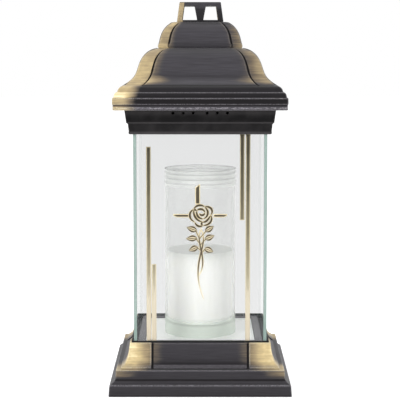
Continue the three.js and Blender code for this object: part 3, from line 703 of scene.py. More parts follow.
class ShapeRecipe(Recipe):
    """A Geometry Nodes tree that is being built, with named inputs and a material."""

    def __init__(self, name: str, **inputs: str) -> None:
        """Starts the tree.

        Args:
            name: Its name.
            **inputs: Socket type of each named input, with underscores for spaces.
        """
        super().__init__(bpy.data.node_groups.new(name, "GeometryNodeTree"))
        sockets = [("Geometry", "INPUT", "Geometry"), ("Geometry", "OUTPUT", "Geometry")]
        sockets += [(title.replace("_", " "), "INPUT", kind) for title, kind in inputs.items()]
        for title, way, kind in (*sockets, ("Material", "INPUT", "Material")):
            self.tree.interface.new_socket(title, in_out=way, socket_type="NodeSocket" + kind)
        self.given = self.add("NodeGroupInput").outputs

    def close(self, shape: Node) -> None:
        """Ends the tree: real geometry instead of instances, then the material.

        Args:
            shape: The node that gives the finished shape.
        """
        real = self.add("GeometryNodeRealizeInstances", shape)
        dressed = self.add("GeometryNodeSetMaterial", {"Geometry": real, "Material": self.given["Material"]})
        self.add("NodeGroupOutput", dressed)

    def grow(self, name: str, finish: Finish, seed: Shape | None = None, **values: Any) -> Piece:
        """Runs the tree on a shape.

        Args:
            name: Name of the result.
            finish: Its material.
            seed: What the tree starts from, if it needs anything.
            **values: Values of its named inputs, with underscores for spaces.

        Returns:
            A plain object.
        """
        host = put(name, draw(name, [seed] if seed else [], HALF_WIDTH))
        modifier = host.modifiers.new("shape", "NODES")
        modifier.node_group = self.tree
        values["Material"] = finish
        for item in self.tree.interface.items_tree:
            key = item.name.replace(" ", "_")
            if item.in_out == "INPUT" and key in values:
                modifier[item.identifier] = values[key]
        mesh = applied(host)
        bpy.data.objects.remove(host)
        return smoothed(name, mesh)


class Turning(ShapeRecipe):
    """Turned pieces: an outline swept round the upright axis."""

    PATH_RADIUS = 1.0
    WELD = 0.001
    SIDES = 96

    def __init__(self) -> None:
        """Builds the tree."""
        super().__init__("turned_piece", Sides="Int")
        outline = self.add("GeometryNodeMeshToCurve", self.given[0])
        path = self.add("GeometryNodeCurvePrimitiveCircle", {
            "Resolution": self.given["Sides"], "Radius": self.PATH_RADIUS * MM})
        skin = self.add("GeometryNodeCurveToMesh", {"Curve": path, "Profile Curve": outline})
        self.close(self.add("GeometryNodeMergeByDistance", {"Geometry": skin, "Distance": self.WELD * MM}))

    def make(self, name: str, outline: Sequence[Pair], closed: bool, finish: Finish) -> Piece:
        """Turns one piece.

        Args:
            name: Its name.
            outline: Radius and height of each point, up on the outside and down on the inside.
            closed: Whether the last point joins the first.
            finish: Its material.

        Returns:
            The object.
        """
        points = [Vector((radius - self.PATH_RADIUS, -z, 0)) * MM for radius, z in reversed(outline)]
        lines = [(i, i + 1) for i in range(len(points) - 1)] + [(len(points) - 1, 0)] * closed
        return self.grow(name, finish, Shape(points, [], lines=lines), Sides=self.SIDES)


# Finishes


@dataclass(frozen=True)
class BrushedMoulding:
    """Moulded ABS, sprayed charcoal and brushed by hand with antique gold paint.

    The eye gets a satin dark ground with faint level streaks, edges rubbed paler and given a painted
    highlight, hollows and seams nearly black with dark wash and painted shade, and warm metal paint that is
    even on the corner bands and dry and broken towards its borders.
    The paint's grit is finer in the real one and drawn coarse enough to show.
    """

    name: str
    ground: str
    shade: str
    # Near-black of the dark wash and of the painted shade in hollows and seams
    hollow: str = "141214"
    # Paler colour of rubbed edges, which also paints their highlights
    rubbed: str = "8D8A90"
    gold: Tones = ((0.0, "4A4746"), (0.25, "685D4F"), (0.5, "A08F70"), (0.75, "CFBA8C"), (1.0, "FBEFC4"))
    streak: Three = (20.0, 20.0, 1.1)
    mottle: Three = (11.0, 11.0, 6.0)
    grit: Three = (0.7, 0.7, 0.7)
    streak_depth: float = 0.42
    full_coat: float = 1.3
    dry: Pair = (0.0, 0.2)
    patchy: Four = (0.3, 0.7, 0.82, 1.12)
    streak_tone: Pair = (0.28, 0.72)
    cover: Pair = (0.02, 0.25)
    wear: Four = (0.38, 0.6, 0.1, 0.7)
    hollow_shade: float = -0.92
    fill: float = -0.8
    metal: float = 0.35
    roughness: Pair = (0.36, 0.52)
    streak_height: float = 0.6
    bump: Pair = (0.22, 0.12)

    def gold_share(self, s: Surface) -> Node:
        """How much gold lies at a point, before the brush breaks it up; 1 is an even coat."""
        raise NotImplementedError

    def painted_shade(self, s: Surface) -> Node:
        """How much painted shade darkens the ground at a point."""
        raise NotImplementedError

    def painted_highlights(self, s: Surface) -> Node:
        """Where painted highlights lie, broken like rubbed-through specks, beside the edges."""
        raise NotImplementedError

    def material(self) -> Finish:
        """Builds the material.

        Returns:
            The material.
        """
        s = Surface(self.name, IOR=1.5, Specular_IOR_Level=0.1, Sheen_Weight=0.12, Sheen_Roughness=0.5)
        streaks, grit = s.grain(self.streak), s.grain(self.grit, 2.0)
        thick = self.gold_share(s)
        # The brush skips more where the coat is thin
        skip = s.add(Kind.MULTIPLY_ADD, s.add(Kind.ADD, streaks, -0.5), self.streak_depth, thick)
        bare = s.add(Kind.RANGE, thick, *self.dry)
        uneven = s.add(Kind.RANGE, s.grain(self.mottle), *self.patchy)
        brushed = s.chain(Kind.MULTIPLY, skip, bare, uneven)
        painted = s.add(Kind.DIVIDE, brushed, self.full_coat, use_clamp=True)
        ground = s.add(Kind.BLEND, s.add(Kind.RANGE, streaks, *self.streak_tone), self.shade, self.ground)
        # Painted shade by height darkens the ground towards near-black
        ground = s.add(Kind.BLEND, self.painted_shade(s), ground, self.hollow)
        gold = s.add("ShaderNodeValToRGB", painted, stops=self.gold)
        colour = s.add(Kind.BLEND, s.add(Kind.RANGE, painted, *self.cover), ground, gold)
        # Outer edges and highlight bands turn paler: partly rubbed wear, partly painted highlight
        rubbed_and_highlit = s.add(Kind.MOST, s.edge, self.painted_highlights(s))
        worn = s.add(Kind.MULTIPLY, s.add(Kind.RANGE, grit, *self.wear), rubbed_and_highlit, use_clamp=True)
        colour = s.add(Kind.BLEND, worn, colour, s.add(Kind.BLEND, painted, self.rubbed, self.gold[-1][1]))
        # Thick gold fills the hollows' dark wash and painted shade, but not the seams'
        filled = s.add(Kind.MULTIPLY, painted, self.fill)
        deep = s.add(Kind.MULTIPLY_ADD, s.edge, self.hollow_shade, filled, use_clamp=True)
        return s.finish(
            Base_Color=s.add(Kind.BLEND, deep, colour, self.hollow),
            Metallic=s.add(Kind.MULTIPLY, painted, self.metal),
            Roughness=s.add(Kind.RANGE, streaks, 0.0, 1.0, *self.roughness),
            Normal=s.bumps(s.add(Kind.MULTIPLY_ADD, streaks, self.streak_height, grit), *self.bump))


@dataclass(frozen=True)
class LidFinish(BrushedMoulding):
    """The lid's brushing: gold on the corner bands and the rim's corners, most on two corners.

    Beside each seam the brush has left a brown wash on the panel, thickest where the panel flares out and
    faces up, where it also paints a highlight.
    Strong and weak say where the gold reaches its full share, as a share of the half width, and how much
    lies at the seam and there. Much and little are the wash on the same corners, above and on the flare.
    """

    band_share: float = 0.762
    seam_blur: float = 0.006
    corner_blur: float = 1e-5
    strong: Three = (0.95, 0.78, 0.86)
    weak: Three = (0.97, 0.26, 0.66)
    flare: Pair = (288.0, 281.0)
    wash_reach: Pair = (0.27, 0.5)
    wash_power: float = 1.5
    much: Pair = (0.43, 0.88)
    little: Pair = (0.24, 0.48)
    crown_foot: Pair = (334.4, 333.8)
    rim_blur: Pair = (0.68, 0.9)
    weak_rim: float = 0.08
    rim_end: Pair = (277.6, 280.3)
    weak_fade: Tones = (
        (277.0, 1.0), (287.0, 0.97), (300.0, 0.88), (309.8, 0.82), (310.2, 0.85), (314.6, 0.8), (324.0, 0.68),
        (330.0, 0.42), (333.8, 0.0), (352.0, 0.0))
    band_fade: Tones = (
        (277.0, 0.84), (281.5, 0.86), (287.0, 0.94), (294.0, 1.0), (298.0, 0.9), (304.0, 0.79), (309.8, 0.8),
        (310.2, 0.95), (314.0, 0.88), (314.6, 0.66), (320.0, 0.76), (328.0, 0.8), (334.0, 0.78), (334.6, 0.8),
        (351.5, 0.8), (351.8, 0.0), (352.0, 0.0))
    # Gold on the rim by height, strongest on the upper quarter round, where it also paints that round's
    # highlight
    rim_gold_and_highlight: Tones = (
        (255.8, 0.5), (258.8, 0.55), (259.3, 0.2), (260.6, 0.18), (261.1, 0.52), (266.6, 0.55), (267.1, 0.94),
        (271.7, 0.9), (272.3, 0.62), (278.0, 0.6))
    # Painted light and shade by height, as shares of the near-black: dark rim faces and joints, pale edge
    # bands as highlights
    tones: Tones = (
        (255.8, 0.8), (256.8, 0.2), (258.8, 0.3), (260.2, 0.8), (260.8, 1.0), (266.3, 1.0), (266.8, 0.2),
        (267.6, 0.95), (271.2, 0.85), (271.7, 0.0), (272.4, 0.8), (277.6, 1.0), (278.5, 0.2), (280.6, 0.0),
        (284.3, 0.35), (285.6, 0.45), (287.0, 0.2), (293.0, 0.1), (304.0, 0.2), (309.4, 0.55), (309.9, 0.95),
        (310.6, 0.4), (314.0, 0.4), (314.7, 0.2), (322.0, 0.1), (330.0, 0.2), (333.4, 0.6), (334.3, 0.8),
        (336.5, 0.8), (345.6, 0.7), (346.6, 0.3), (352.0, 0.2))
    # The skirt's painted highlight: its heights and the dashes that break it
    skirt: Pair = (256.9, 258.5)
    dash: Three = (3.5, 3.5, 1.2)
    dash_wear: Four = (0.4, 0.58, 0.25, 1.6)

    def gold_share(self, s: Surface) -> Node:
        """Gold on the bands, in the wash beside them and on the rim, by corner and by height.

        Args:
            s: The material.

        Returns:
            The share's node.
        """
        along, half = s.corner_place()
        ratio, height, share = s.add(Kind.DIVIDE, along, half), s.axes["Z"], self.band_share
        diagonal = s.add(Kind.MULTIPLY, s.axes["X"], s.axes["Y"])
        favoured = s.add(Kind.RANGE, diagonal, -self.corner_blur, self.corner_blur)
        on_band = s.add(Kind.RANGE, ratio, share - self.seam_blur, share + self.seam_blur)
        strong = s.add(Kind.RANGE, ratio, share, *self.strong)
        weak = s.add(Kind.MULTIPLY, s.add(Kind.RANGE, ratio, share, *self.weak), s.by_height(self.weak_fade))
        band = s.chain(
            Kind.MULTIPLY, s.add(Kind.BETWEEN, favoured, weak, strong), s.by_height(self.band_fade), on_band)
        # The wash widens where the panel flares out, partly as a painted highlight, and stops below the
        # crown's narrow posts
        flare = s.add(Kind.SOFT_RANGE, height, *mm(*self.flare))
        reach = s.add(Kind.RANGE, flare, 0.0, 1.0, *(share - r for r in self.wash_reach))
        wash = s.add(Kind.POWER, s.add(Kind.RANGE, ratio, reach, share), self.wash_power)
        little, much = (s.add(Kind.RANGE, flare, 0.0, 1.0, *coat) for coat in (self.little, self.much))
        coat = s.add(Kind.BETWEEN, favoured, little, much)
        below_crown = s.add(Kind.RANGE, height, *mm(*self.crown_foot))
        on_panel = s.add(Kind.SUBTRACT, 1.0, on_band)
        wash = s.chain(Kind.MULTIPLY, wash, s.add(Kind.MULTIPLY, coat, below_crown), on_panel)
        rim = s.add(Kind.MULTIPLY, s.by_height(self.rim_gold_and_highlight), self.full_coat)
        rim = s.add(Kind.BETWEEN, favoured, self.weak_rim, rim)
        rim = s.add(Kind.MULTIPLY, s.add(Kind.SOFT_RANGE, ratio, *self.rim_blur), rim)
        above = s.add(Kind.RANGE, height, *mm(*self.rim_end))
        return s.add(Kind.BETWEEN, above, rim, s.add(Kind.MOST, band, wash))

    def painted_shade(self, s: Surface) -> Node:
        """Painted light and shade by height: darker faces on the rim and the crown, pale edges as highlights,
        and joints nearly black with painted shadow.
        """
        return s.by_height(self.tones)

    def painted_highlights(self, s: Surface) -> Node:
        """The skirt's lower edge, painted bright all round in short dashes as its highlight."""
        broken = s.add(Kind.RANGE, s.grain(self.dash), *self.dash_wear)
        return s.add(Kind.MULTIPLY, s.between_heights(*self.skirt), broken)


@dataclass(frozen=True)
class PlinthFinish(BrushedMoulding):
    """The plinth's brushing: pale gold on the corner blocks of the cove, a little on the riser's corners.

    A coat says how far out from the block's edge it reaches, and how thick it is at the edge and there.
    """

    block_edge: float = 43.3
    edge_blur: float = 0.2
    block_coat: Three = (14.5, 0.4, 1.06)
    foot_coat: Three = (22.0, 0.22, 0.72)
    block_foot: Pair = (24.0, 31.0)
    fillet_foot: Pair = (22.4, 22.7)
    riser_coat: Four = (45.0, 77.0, 0.0, 0.42)
    riser_foot: Pair = (14.0, 19.0)
    wash_reach: float = 17.0
    wash: float = 0.26
    cove: Pair = (61.0, 62.0)
    # The fillet and the inside ledge, painted paler as highlights
    fillet: Pair = (23.8, 26.0)
    fillet_highlight: float = 0.32
    deck: Pair = (44.4, 44.8)
    deck_highlight: float = 0.6
    # Painted shade by height, as shares of the near-black: a contact shadow at the foot, dark lines where the
    # steps meet, a cove darker towards its foot
    tones: Tones = (
        (0.0, 1.0), (1.3, 0.9), (1.9, 0.3), (9.0, 0.2), (9.8, 0.6), (11.0, 0.5), (12.4, 0.15), (13.5, 0.3),
        (14.1, 1.0), (14.7, 0.4), (15.6, 0.18), (22.0, 0.18), (22.8, 0.6), (23.7, 0.45), (24.3, 0.0),
        (25.8, 0.05), (26.5, 0.85), (27.6, 0.6), (29.0, 0.32), (32.0, 0.12), (36.0, 0.0), (45.3, 0.0))

    def gold_share(self, s: Surface) -> Node:
        """Gold on the blocks, thickest at their outer edge, and a wash beside them.

        Args:
            s: The material.

        Returns:
            The share's node.
        """
        along, half = s.corner_place()
        height, edge = s.axes["Z"], self.block_edge
        block = s.add(Kind.RANGE, along, *mm(edge - self.edge_blur, edge + self.edge_blur))
        outward, foot = (
            s.add(Kind.RANGE, along, *mm(edge, edge + reach), thin, thick)
            for reach, thin, thick in (self.block_coat, self.foot_coat))
        lift = s.add(Kind.SOFT_RANGE, height, *mm(*self.block_foot), foot)
        above = s.add(Kind.RANGE, height, *mm(*self.fillet_foot))
        thick = s.chain(Kind.MULTIPLY, block, outward, lift, above)
        start, end, *coat = self.riser_coat
        riser = s.add(Kind.SOFT_RANGE, along, *mm(start, end), *coat)
        riser = s.add(Kind.MULTIPLY, riser, s.add(Kind.RANGE, height, *mm(*self.riser_foot)))
        wash = s.add(Kind.SOFT_RANGE, along, *mm(edge - self.wash_reach, edge), 0.0, self.wash)
        wash = s.chain(Kind.MULTIPLY, wash, lift, above)
        outside = s.add(Kind.RANGE, half, *mm(*self.cove))
        return s.add(Kind.MULTIPLY, s.chain(Kind.MOST, riser, wash, thick), outside)

    def painted_shade(self, s: Surface) -> Node:
        """Painted shade: a contact shadow at the foot, dark joints between the steps, and a cove that darkens
        towards its foot.
        """
        return s.by_height(self.tones)

    def painted_highlights(self, s: Surface) -> Node:
        """The fillet below the cove and the ledge inside the glass, painted paler as highlights where they
        face up.
        """
        fillet = s.add(Kind.MULTIPLY, s.between_heights(*self.fillet), self.fillet_highlight)
        return s.add(Kind.MOST, fillet, s.add(Kind.RANGE, s.axes["Z"], *mm(*self.deck), 0.0, self.deck_highlight))


@dataclass(frozen=True)
class PlainFinish:
    """A moulded or pressed surface of one colour: fine grain, slight cloudiness and a soft or bright gloss.

    Its outer edges show the rubbed colour, which partly paints a highlight. Tones say by height how far it is
    from its shade to its colour.
    The grain is finer in the real ones and drawn coarse enough to show.
    """

    name: str
    colour: str
    shade: str
    rubbed: str
    roughness: float = 0.45
    metallic: float = 0.0
    specular: float = 0.35
    grain: Three = (0.6, 0.6, 0.6)
    cloud: Three = (12.0, 12.0, 12.0)
    cloudiness: Four = (0.35, 0.65, -0.12, 0.12)
    wear: float = 0.7
    uneven: float = 0.07
    bump: float = 0.12
    bump_depth: float = 0.1
    tones: Tones = ()

    def material(self) -> Finish:
        """Builds the material.

        Returns:
            The material.
        """
        s = Surface(self.name, Metallic=self.metallic, Specular_IOR_Level=self.specular)
        spread = s.add(Kind.RANGE, s.grain(self.cloud), *self.cloudiness)
        spread = s.add(Kind.ADD, spread, s.by_height(self.tones) if self.tones else 0.5, use_clamp=True)
        colour = s.add(Kind.BLEND, spread, self.shade, self.colour)
        # Outer edges take the rubbed colour: partly wear, partly a painted highlight
        worn = s.add(Kind.MULTIPLY, s.edge, self.wear, use_clamp=True)
        fine = s.grain(self.grain, 2.0)
        least, most = self.roughness - self.uneven, self.roughness + self.uneven
        return s.finish(
            Base_Color=s.add(Kind.BLEND, worn, colour, self.rubbed),
            Roughness=s.add(Kind.RANGE, fine, 0.0, 1.0, least, most),
            Normal=s.bumps(fine, self.bump, self.bump_depth))


@dataclass(frozen=True)
class FloatGlass:
    """Clear soda-lime float glass with ground edges.

    The eye gets a faint grey veil through each sheet, more of it at a grazing angle, and pale green edges
    where the light comes out of the sheet's length.
    """

    name: str = "clear_float_glass"
    veil: str = "AEB6B8"
    edge: tuple[str, str] = ("778F87", "93A8A1")
    inner_face: float = 56.9
    end_face: float = 59.55
    alpha: float = 0.03
    grazing: float = 0.1
    falloff: float = 4.0
    edge_alpha: Pair = (0.9, 0.12)
    waver: Three = (2.0, 2.0, 30.0)

    def material(self) -> Finish:
        """Builds the material.

        Returns:
            The material.
        """
        s = Surface(self.name, IOR=1.52, Roughness=0.04)
        wide, deep = s.off_middle()
        wide, deep = s.add(Kind.PAST, wide, self.inner_face * MM), s.add(Kind.PAST, deep, self.end_face * MM)
        edge = s.add(Kind.MULTIPLY, wide, deep)
        facing = s.add("ShaderNodeLayerWeight", 0.5).outputs["Facing"]
        alpha = s.add(Kind.MULTIPLY_ADD, s.add(Kind.POWER, facing, self.falloff), self.grazing, self.alpha)
        far = s.add("ShaderNodeNewGeometry").outputs["Backfacing"]
        alpha = s.add(Kind.BETWEEN, edge, alpha, s.add(Kind.RANGE, far, 0.0, 1.0, *self.edge_alpha))
        green = s.add(Kind.BLEND, s.grain(self.waver), *self.edge)
        return s.finish(Alpha=s.lit_through(alpha), Base_Color=s.add(Kind.BLEND, edge, self.veil, green))


@dataclass(frozen=True)
class ReliefGold:
    """Cast resin relief with gold enamel and a dark wash, its low blades and flanks painted as highlights.

    The eye gets dark olive lines with cream borders. The whole grows paler towards the foot of the glass,
    as a painted reflection.
    """

    name: str
    line_tones: Tones
    low_tones: Tones
    face: float = 60.0
    core: Pair = (0.372, 0.516)
    span: Pair = (45.0, 235.0)
    wear: Three = (1.5, 1.5, 6.0)
    patchy: Pair = (-0.06, 0.06)
    bump: Pair = (0.2, 0.05)

    def material(self) -> Finish:
        """Builds the material.

        Returns:
            The material.
        """
        s = Surface(self.name, Metallic=0.2, Roughness=0.4, Specular_IOR_Level=0.4)
        # Dark olive tops, and low flanks painted cream as highlights
        height = s.add(Kind.MULTIPLY_ADD, s.axes["Y"], -1.0, -self.face * MM)
        core = s.add(Kind.SOFT_RANGE, height, *mm(*self.core))
        worn = s.grain(self.wear)
        # Paler towards the foot as a painted reflection, with random patches
        rise = s.add(
            Kind.ADD, s.add(Kind.RANGE, s.axes["Z"], *mm(*self.span)),
            s.add(Kind.RANGE, worn, 0.0, 1.0, *self.patchy))
        low, line = (
            s.add("ShaderNodeValToRGB", rise, stops=tones) for tones in (self.low_tones, self.line_tones))
        return s.finish(Base_Color=s.add(Kind.BLEND, core, low, line), Normal=s.bumps(worn, *self.bump))


@dataclass(frozen=True)
class FrostedCup:
    """Blown polypropylene, left cloudy.

    The eye gets a milky veil that is thin in the middle and dense at the sides, where the wall is seen
    edge on, and greenish in the thicker foot. The moulded rings of the neck show as fine pale lines, and
    dark lines that paint the shadow under each ring; both are finer than a pixel in the real one and
    drawn a little coarser here.
    """

    name: str = "frosted_polypropylene"
    colours: Tones = ((42.0, "DDE5DC"), (56.0, "DDE5DC"), (64.0, "E4E6E3"), (198.1, "E4E6E3"))
    # Colour of the painted shadow under each ring
    line: str = "8A918D"
    ring_shadow_alpha: float = 0.16
    grazing: float = 0.34
    falloff: float = 2.0
    haze: Three = (5.0, 5.0, 60.0)
    haze_alpha: Pair = (0.07, 0.13)
    grain: Three = (0.8, 0.8, 0.8)
    bump: Pair = (0.04, 0.1)
    milk: Tones = (
        (42.0, 0.5), (52.5, 0.55), (55.5, 0.3), (60.0, 0.0), (181.4, 0.0), (182.2, 0.24), (184.2, 0.28),
        (185.0, 0.1), (186.6, 0.28), (188.3, 0.28), (189.1, 0.1), (190.9, 0.24), (192.9, 0.32), (193.7, 0.1),
        (195.4, 0.24), (196.6, 0.24), (197.3, 0.1), (198.1, 0.24))
    # Painted shadows under the rings, by height
    lines: Tones = (
        (181.0, 0.0), (184.4, 0.0), (185.2, 0.6), (186.0, 0.0), (188.8, 0.0), (189.5, 0.7), (190.3, 0.0),
        (193.2, 0.0), (194.0, 0.7), (194.8, 0.0), (197.0, 0.0), (197.7, 0.5), (198.2, 0.5))

    def material(self) -> Finish:
        """Builds the material.

        Returns:
            The material.
        """
        s = Surface(self.name, IOR=1.49, Roughness=0.42)
        facing = s.add("ShaderNodeLayerWeight", 0.5).outputs["Facing"]
        haze = s.add(Kind.RANGE, s.grain(self.haze), 0.0, 1.0, *self.haze_alpha)
        alpha = s.add(Kind.MULTIPLY_ADD, s.add(Kind.POWER, facing, self.falloff), self.grazing, haze)
        alpha = s.add(Kind.ADD, alpha, s.by_height(self.milk))
        # Painted shadow lines under the rings, a little denser and darker
        under = s.by_height(self.lines)
        alpha = s.add(Kind.MULTIPLY_ADD, under, self.ring_shadow_alpha, alpha, use_clamp=True)
        colour = s.add(Kind.BLEND, under, s.by_height(self.colours), self.line)
        return s.finish(
            Alpha=s.lit_through(alpha), Base_Color=colour,
            Normal=s.bumps(s.grain(self.grain, 2.0), *self.bump))


@dataclass(frozen=True)
class PouredWax:
    """Poured paraffin wax: white, faintly crystalline and a little translucent, greyer towards its top as
    painted shade.
    """

    name: str = "poured_paraffin"
    colour: str = "FEFEFB"
    shade: str = "F8F9F3"
    top_shade: str = "DDDFDB"
    crystal: Three = (5.0, 5.0, 9.0)
    bump: Pair = (0.15, 0.3)
    # Painted shade towards the top of the wax
    top: Tones = ((54.0, 0.0), (104.0, 0.0), (114.0, 0.25), (120.5, 1.0), (121.5, 1.0))

    def material(self) -> Finish:
        """Builds the material.

        Returns:
            The material.
        """
        s = Surface(
            self.name, Roughness=0.5, IOR=1.44, Subsurface_Weight=0.2, Subsurface_Scale=4 * MM,
            Subsurface_Radius=(1.0, 0.9, 0.7))
        crystals = s.grain(self.crystal)
        colour = s.add(Kind.BLEND, crystals, self.shade, self.colour)
        return s.finish(
            Base_Color=s.add(Kind.BLEND, s.by_height(self.top), colour, self.top_shade),
            Normal=s.bumps(crystals, *self.bump))


class Finishes:
    """The lantern's materials, each built once."""

    def __init__(self) -> None:
        """Builds every material."""
        self.lid = LidFinish("sprayed_abs_lid_antique_gold", ground="464449", shade="3B393D").material()
        self.plinth = PlinthFinish(
            "sprayed_abs_plinth_antique_gold", ground="3D3B3F", shade="343236").material()
        # Moulded ABS, satin black, with painted light and shade by height: paler just under the lid and at
        # the foot, nearly black above its ledge
        collar_light_and_shade = (
            (233.8, 0.8), (234.9, 0.75), (236.4, 0.6), (237.2, 0.3), (241.6, 0.25), (242.6, 0.2),
            (243.4, 0.5), (244.6, 0.5), (245.4, 0.05), (247.5, 0.0), (250.5, 0.15), (253.0, 0.65),
            (256.0, 0.95), (262.0, 1.0))
        self.collar = PlainFinish(
            "moulded_black_abs", "373536", "0C0B0C", "454344", roughness=0.42, specular=0.08,
            tones=collar_light_and_shade).material()
        self.glass = FloatGlass().material()
        # Gold relief ramps: dark tops and cream flanks, with a painted reflection that is darker above than
        # at the foot
        self.stripes = ReliefGold(
            "gold_enamel_stripes",
            ((0.0, "C6BAA4"), (0.2, "CDC4AF"), (0.34, "9C947C"), (0.54, "766F5A"), (0.74, "544F3D"),
             (0.93, "363223")),
            ((0.0, "D8CDB6"), (0.5, "BFB497"), (1.0, "8F8569"))).material()
        self.rose = ReliefGold(
            "gold_enamel_rose",
            ((0.16, "DFD8C6"), (0.27, "B8AC8F"), (0.36, "5E5341"), (0.6, "3F3628"), (0.8, "4A4432")),
            ((0.1, "E6E0D0"), (0.4, "DCD1B3"), (0.8, "CFC09A"))).material()
        self.cup = FrostedCup().material()
        self.wax = PouredWax().material()
        # Rolled and tinned sheet: nearly white, with a soft sheen
        self.tray = PlainFinish(
            "satin_tinned_sheet", "F2F3F1", "E6E8E6", "FFFFFF", roughness=0.38, metallic=0.1,
            specular=0.5).material()
        # Pressed steel under bright zinc: a grey metal that mirrors its surroundings in a blur
        self.steel = PlainFinish(
            "bright_zinc_steel", "B9BBBC", "9FA2A4", "D0D2D3", roughness=0.34, metallic=1.0,
            specular=0.5).material()
        # Extruded rubber: a dull black line
        self.rubber = PlainFinish(
            "black_epdm_rubber", "161616", "0F0F0F", "1C1C1C", roughness=0.7, specular=0.2).material()
        # Cured silicone: a milky grey line with a soft gloss
        self.silicone = PlainFinish(
            "clear_grey_silicone", "C9CCCB", "B8BBBA", "D0D3D2", roughness=0.5).material()
        # Braided cotton soaked in wax: matt cream, rough with fibres
        self.cotton = PlainFinish(
            "waxed_cotton_braid", "EDE9DD", "D6D0C0", "F0ECE0", roughness=0.8, grain=(0.25, 0.25, 0.5),
            bump=0.5).material()


def dress(piece: Piece, finish: Finish) -> None:
    """Gives a whole piece one material."""
    piece.data.materials.clear()
    piece.data.materials.append(finish)


def fit(piece: Piece, finish: Finish, body: Body, slot: Slot, *nodes: str) -> None:
    """Dresses a finished piece, makes it ride on its body and lets it stand for its CAD nodes.

    Args:
        piece: The piece.
        finish: Its material.
        body: The body that it moves with.
        slot: The record's slot that its finish comes from; it is not used.
        *nodes: The CAD nodes that it stands for.
    """
    dress(piece, finish)
    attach(piece, body.value)
    if nodes:
        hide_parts(*nodes)
    LOG.info("%s: %d faces, on %s", piece.name, len(piece.data.polygons), body.value)


# The lantern


@dataclass
class Plinth:
    """The stepped plinth with its tray and gasket."""

    finishes: Finishes
    edge_round: float = 0.7
    corner: float = 1.1
    block_edge: float = 43.3
    # The seam's -2 keeps its painted shade dark under the gold
    seam: tuple[Three, ...] = (
        (2.2, 0.0, 0.0), (1.6, 0.0, 0.8), (0.9, -0.2, 0.7), (0.6, -1.5, -2.0), (-0.7, -1.7, -2.0),
        (-1.1, -1.2, -1.0), (-1.5, -1.0, -0.2), (-2.4, -1.0, 0.0))
    deck_foot: float = 39.4
    rib_place: float = 28.0
    rib_size: Three = (125.6, 2.0, 10.8)
    rib_sink: float = 0.8
    cove: tuple[Pair, ...] = ((1, 0), (0.435, 0.209), (0.152, 0.556), (0, 1))
    cove_place: tuple[Pair, Pair] = ((63.6, 26.6), (4.6, 18.7))
    cove_steps: int = 14
    tray_half: float = 49.7
    tray_sheet: float = 0.5
    tray_round: float = 0.4
    tray_corner: float = 2.0
    gasket: Pair = (60.1, 62.1)
    gasket_round: float = 0.35
    gasket_corner: float = 0.8

    def build(self) -> None:
        """Builds and dresses the plinth, the tray and the gasket."""
        outline = Profile(18, self.deck_foot).through([
            (61.2, self.deck_foot), (61.6, 36), (63, 29), (65.6, 24), (68.8, 21.6), (68.8, 20.3), (73, 20.3),
            (73.6, 11.6), (78.6, 7.8), (79, 3), (78, 3), (78, 0), (82, 0), (81.2, 10.4), (76.2, 14.2),
            (75.6, 22.9), (71.4, 22.9)])
        outline.to(71.4, 24.2, 1).to(68.2, 26.6, 1).curve(self.cove, *self.cove_place, self.cove_steps)
        outline.through([(60.3, 45.3), (60.3, 42), (56.7, 42), (56.7, 45), (50, 45), (50, 42), (18, 42)])
        panel = Panel(lambda half: self.block_edge, self.seam)
        shape = square_moulding(outline.softened(self.edge_round, False), False, self.corner, panel)
        piece = combine(new_piece("plinth_moulding", shape), self.make_ribs(), Joining.FUSE)
        fit(piece, self.finishes.plinth, Body.STANDING, Slot.PLINTH, "base_plinth")
        self.build_tray()
        self.build_gasket()

    def make_ribs(self) -> Piece:
        """Makes the crossing ribs under the deck, by Geometry Nodes.

        Returns:
            The ribs.
        """
        tree = ShapeRecipe("deck_ribs", Place="Float", Size="Vector", Lift="Float")
        rib = tree.add("GeometryNodeMeshCube", tree.given["Size"])
        both = tree.add("GeometryNodeJoinGeometry")
        for side in (-1.0, 1.0):
            across = tree.add(Kind.MULTIPLY, tree.given["Place"], side)
            shift = tree.add("ShaderNodeCombineXYZ", {"Y": across, "Z": tree.given["Lift"]})
            moved = tree.add("GeometryNodeTransform", {"Geometry": rib, "Translation": shift})
            tree.give(both.inputs[0], moved)
        turned = tree.add("GeometryNodeTransform", {"Geometry": both, "Rotation": (0, 0, math.pi / 2)})
        crossed = tree.add("GeometryNodeMeshBoolean", both, operation="UNION", solver="EXACT")
        tree.give(crossed.inputs[1], turned)
        tree.close(crossed)
        return tree.grow(
            "deck_ribs", self.finishes.plinth, Place=self.rib_place * MM, Size=mm(*self.rib_size),
            Lift=(self.deck_foot + self.rib_sink - self.rib_size[2] / 2) * MM)

    def build_tray(self) -> None:
        """The pressed tray, with a rounded fold and an upturned rim."""
        half, inner = self.tray_half, self.tray_half - self.tray_sheet
        outline = Profile(18, 42).through([
            (half, 42), (half, 44.2), (inner, 44.2), (inner, 42.5), (18, 42.5)])
        shape = square_moulding(outline.softened(self.tray_round, False), False, self.tray_corner)
        piece = new_piece("tray_pressing", shape)
        fit(piece, self.finishes.tray, Body.STANDING, Slot.TRAY, "floor_tray")

    def build_gasket(self) -> None:
        """The rounded gasket round the foot of the glass."""
        inner, outer = self.gasket
        outline = Profile(outer, 45.3).through([(outer, 46.5), (inner, 46.5), (inner, 45.3)])
        shape = square_moulding(outline.softened(self.gasket_round, True), True, self.gasket_corner)
        piece = new_piece("gasket_strip", shape)
        fit(piece, self.finishes.rubber, Body.STANDING, Slot.GASKET, "glass_gasket")


@dataclass(frozen=True)
class Stroke:
    """One drawn line of the rose: its controls, its width, the share of that at its ends, and its steps."""

    controls: Sequence[Pair]
    width: float
    end_share: float
    steps: int = 14


@dataclass(frozen=True)
class Leaf:
    """One leaf of the rose: its foot, its tip, and how far down the first stem its stalk joins."""

    foot: Pair
    tip: Pair
    joint: float


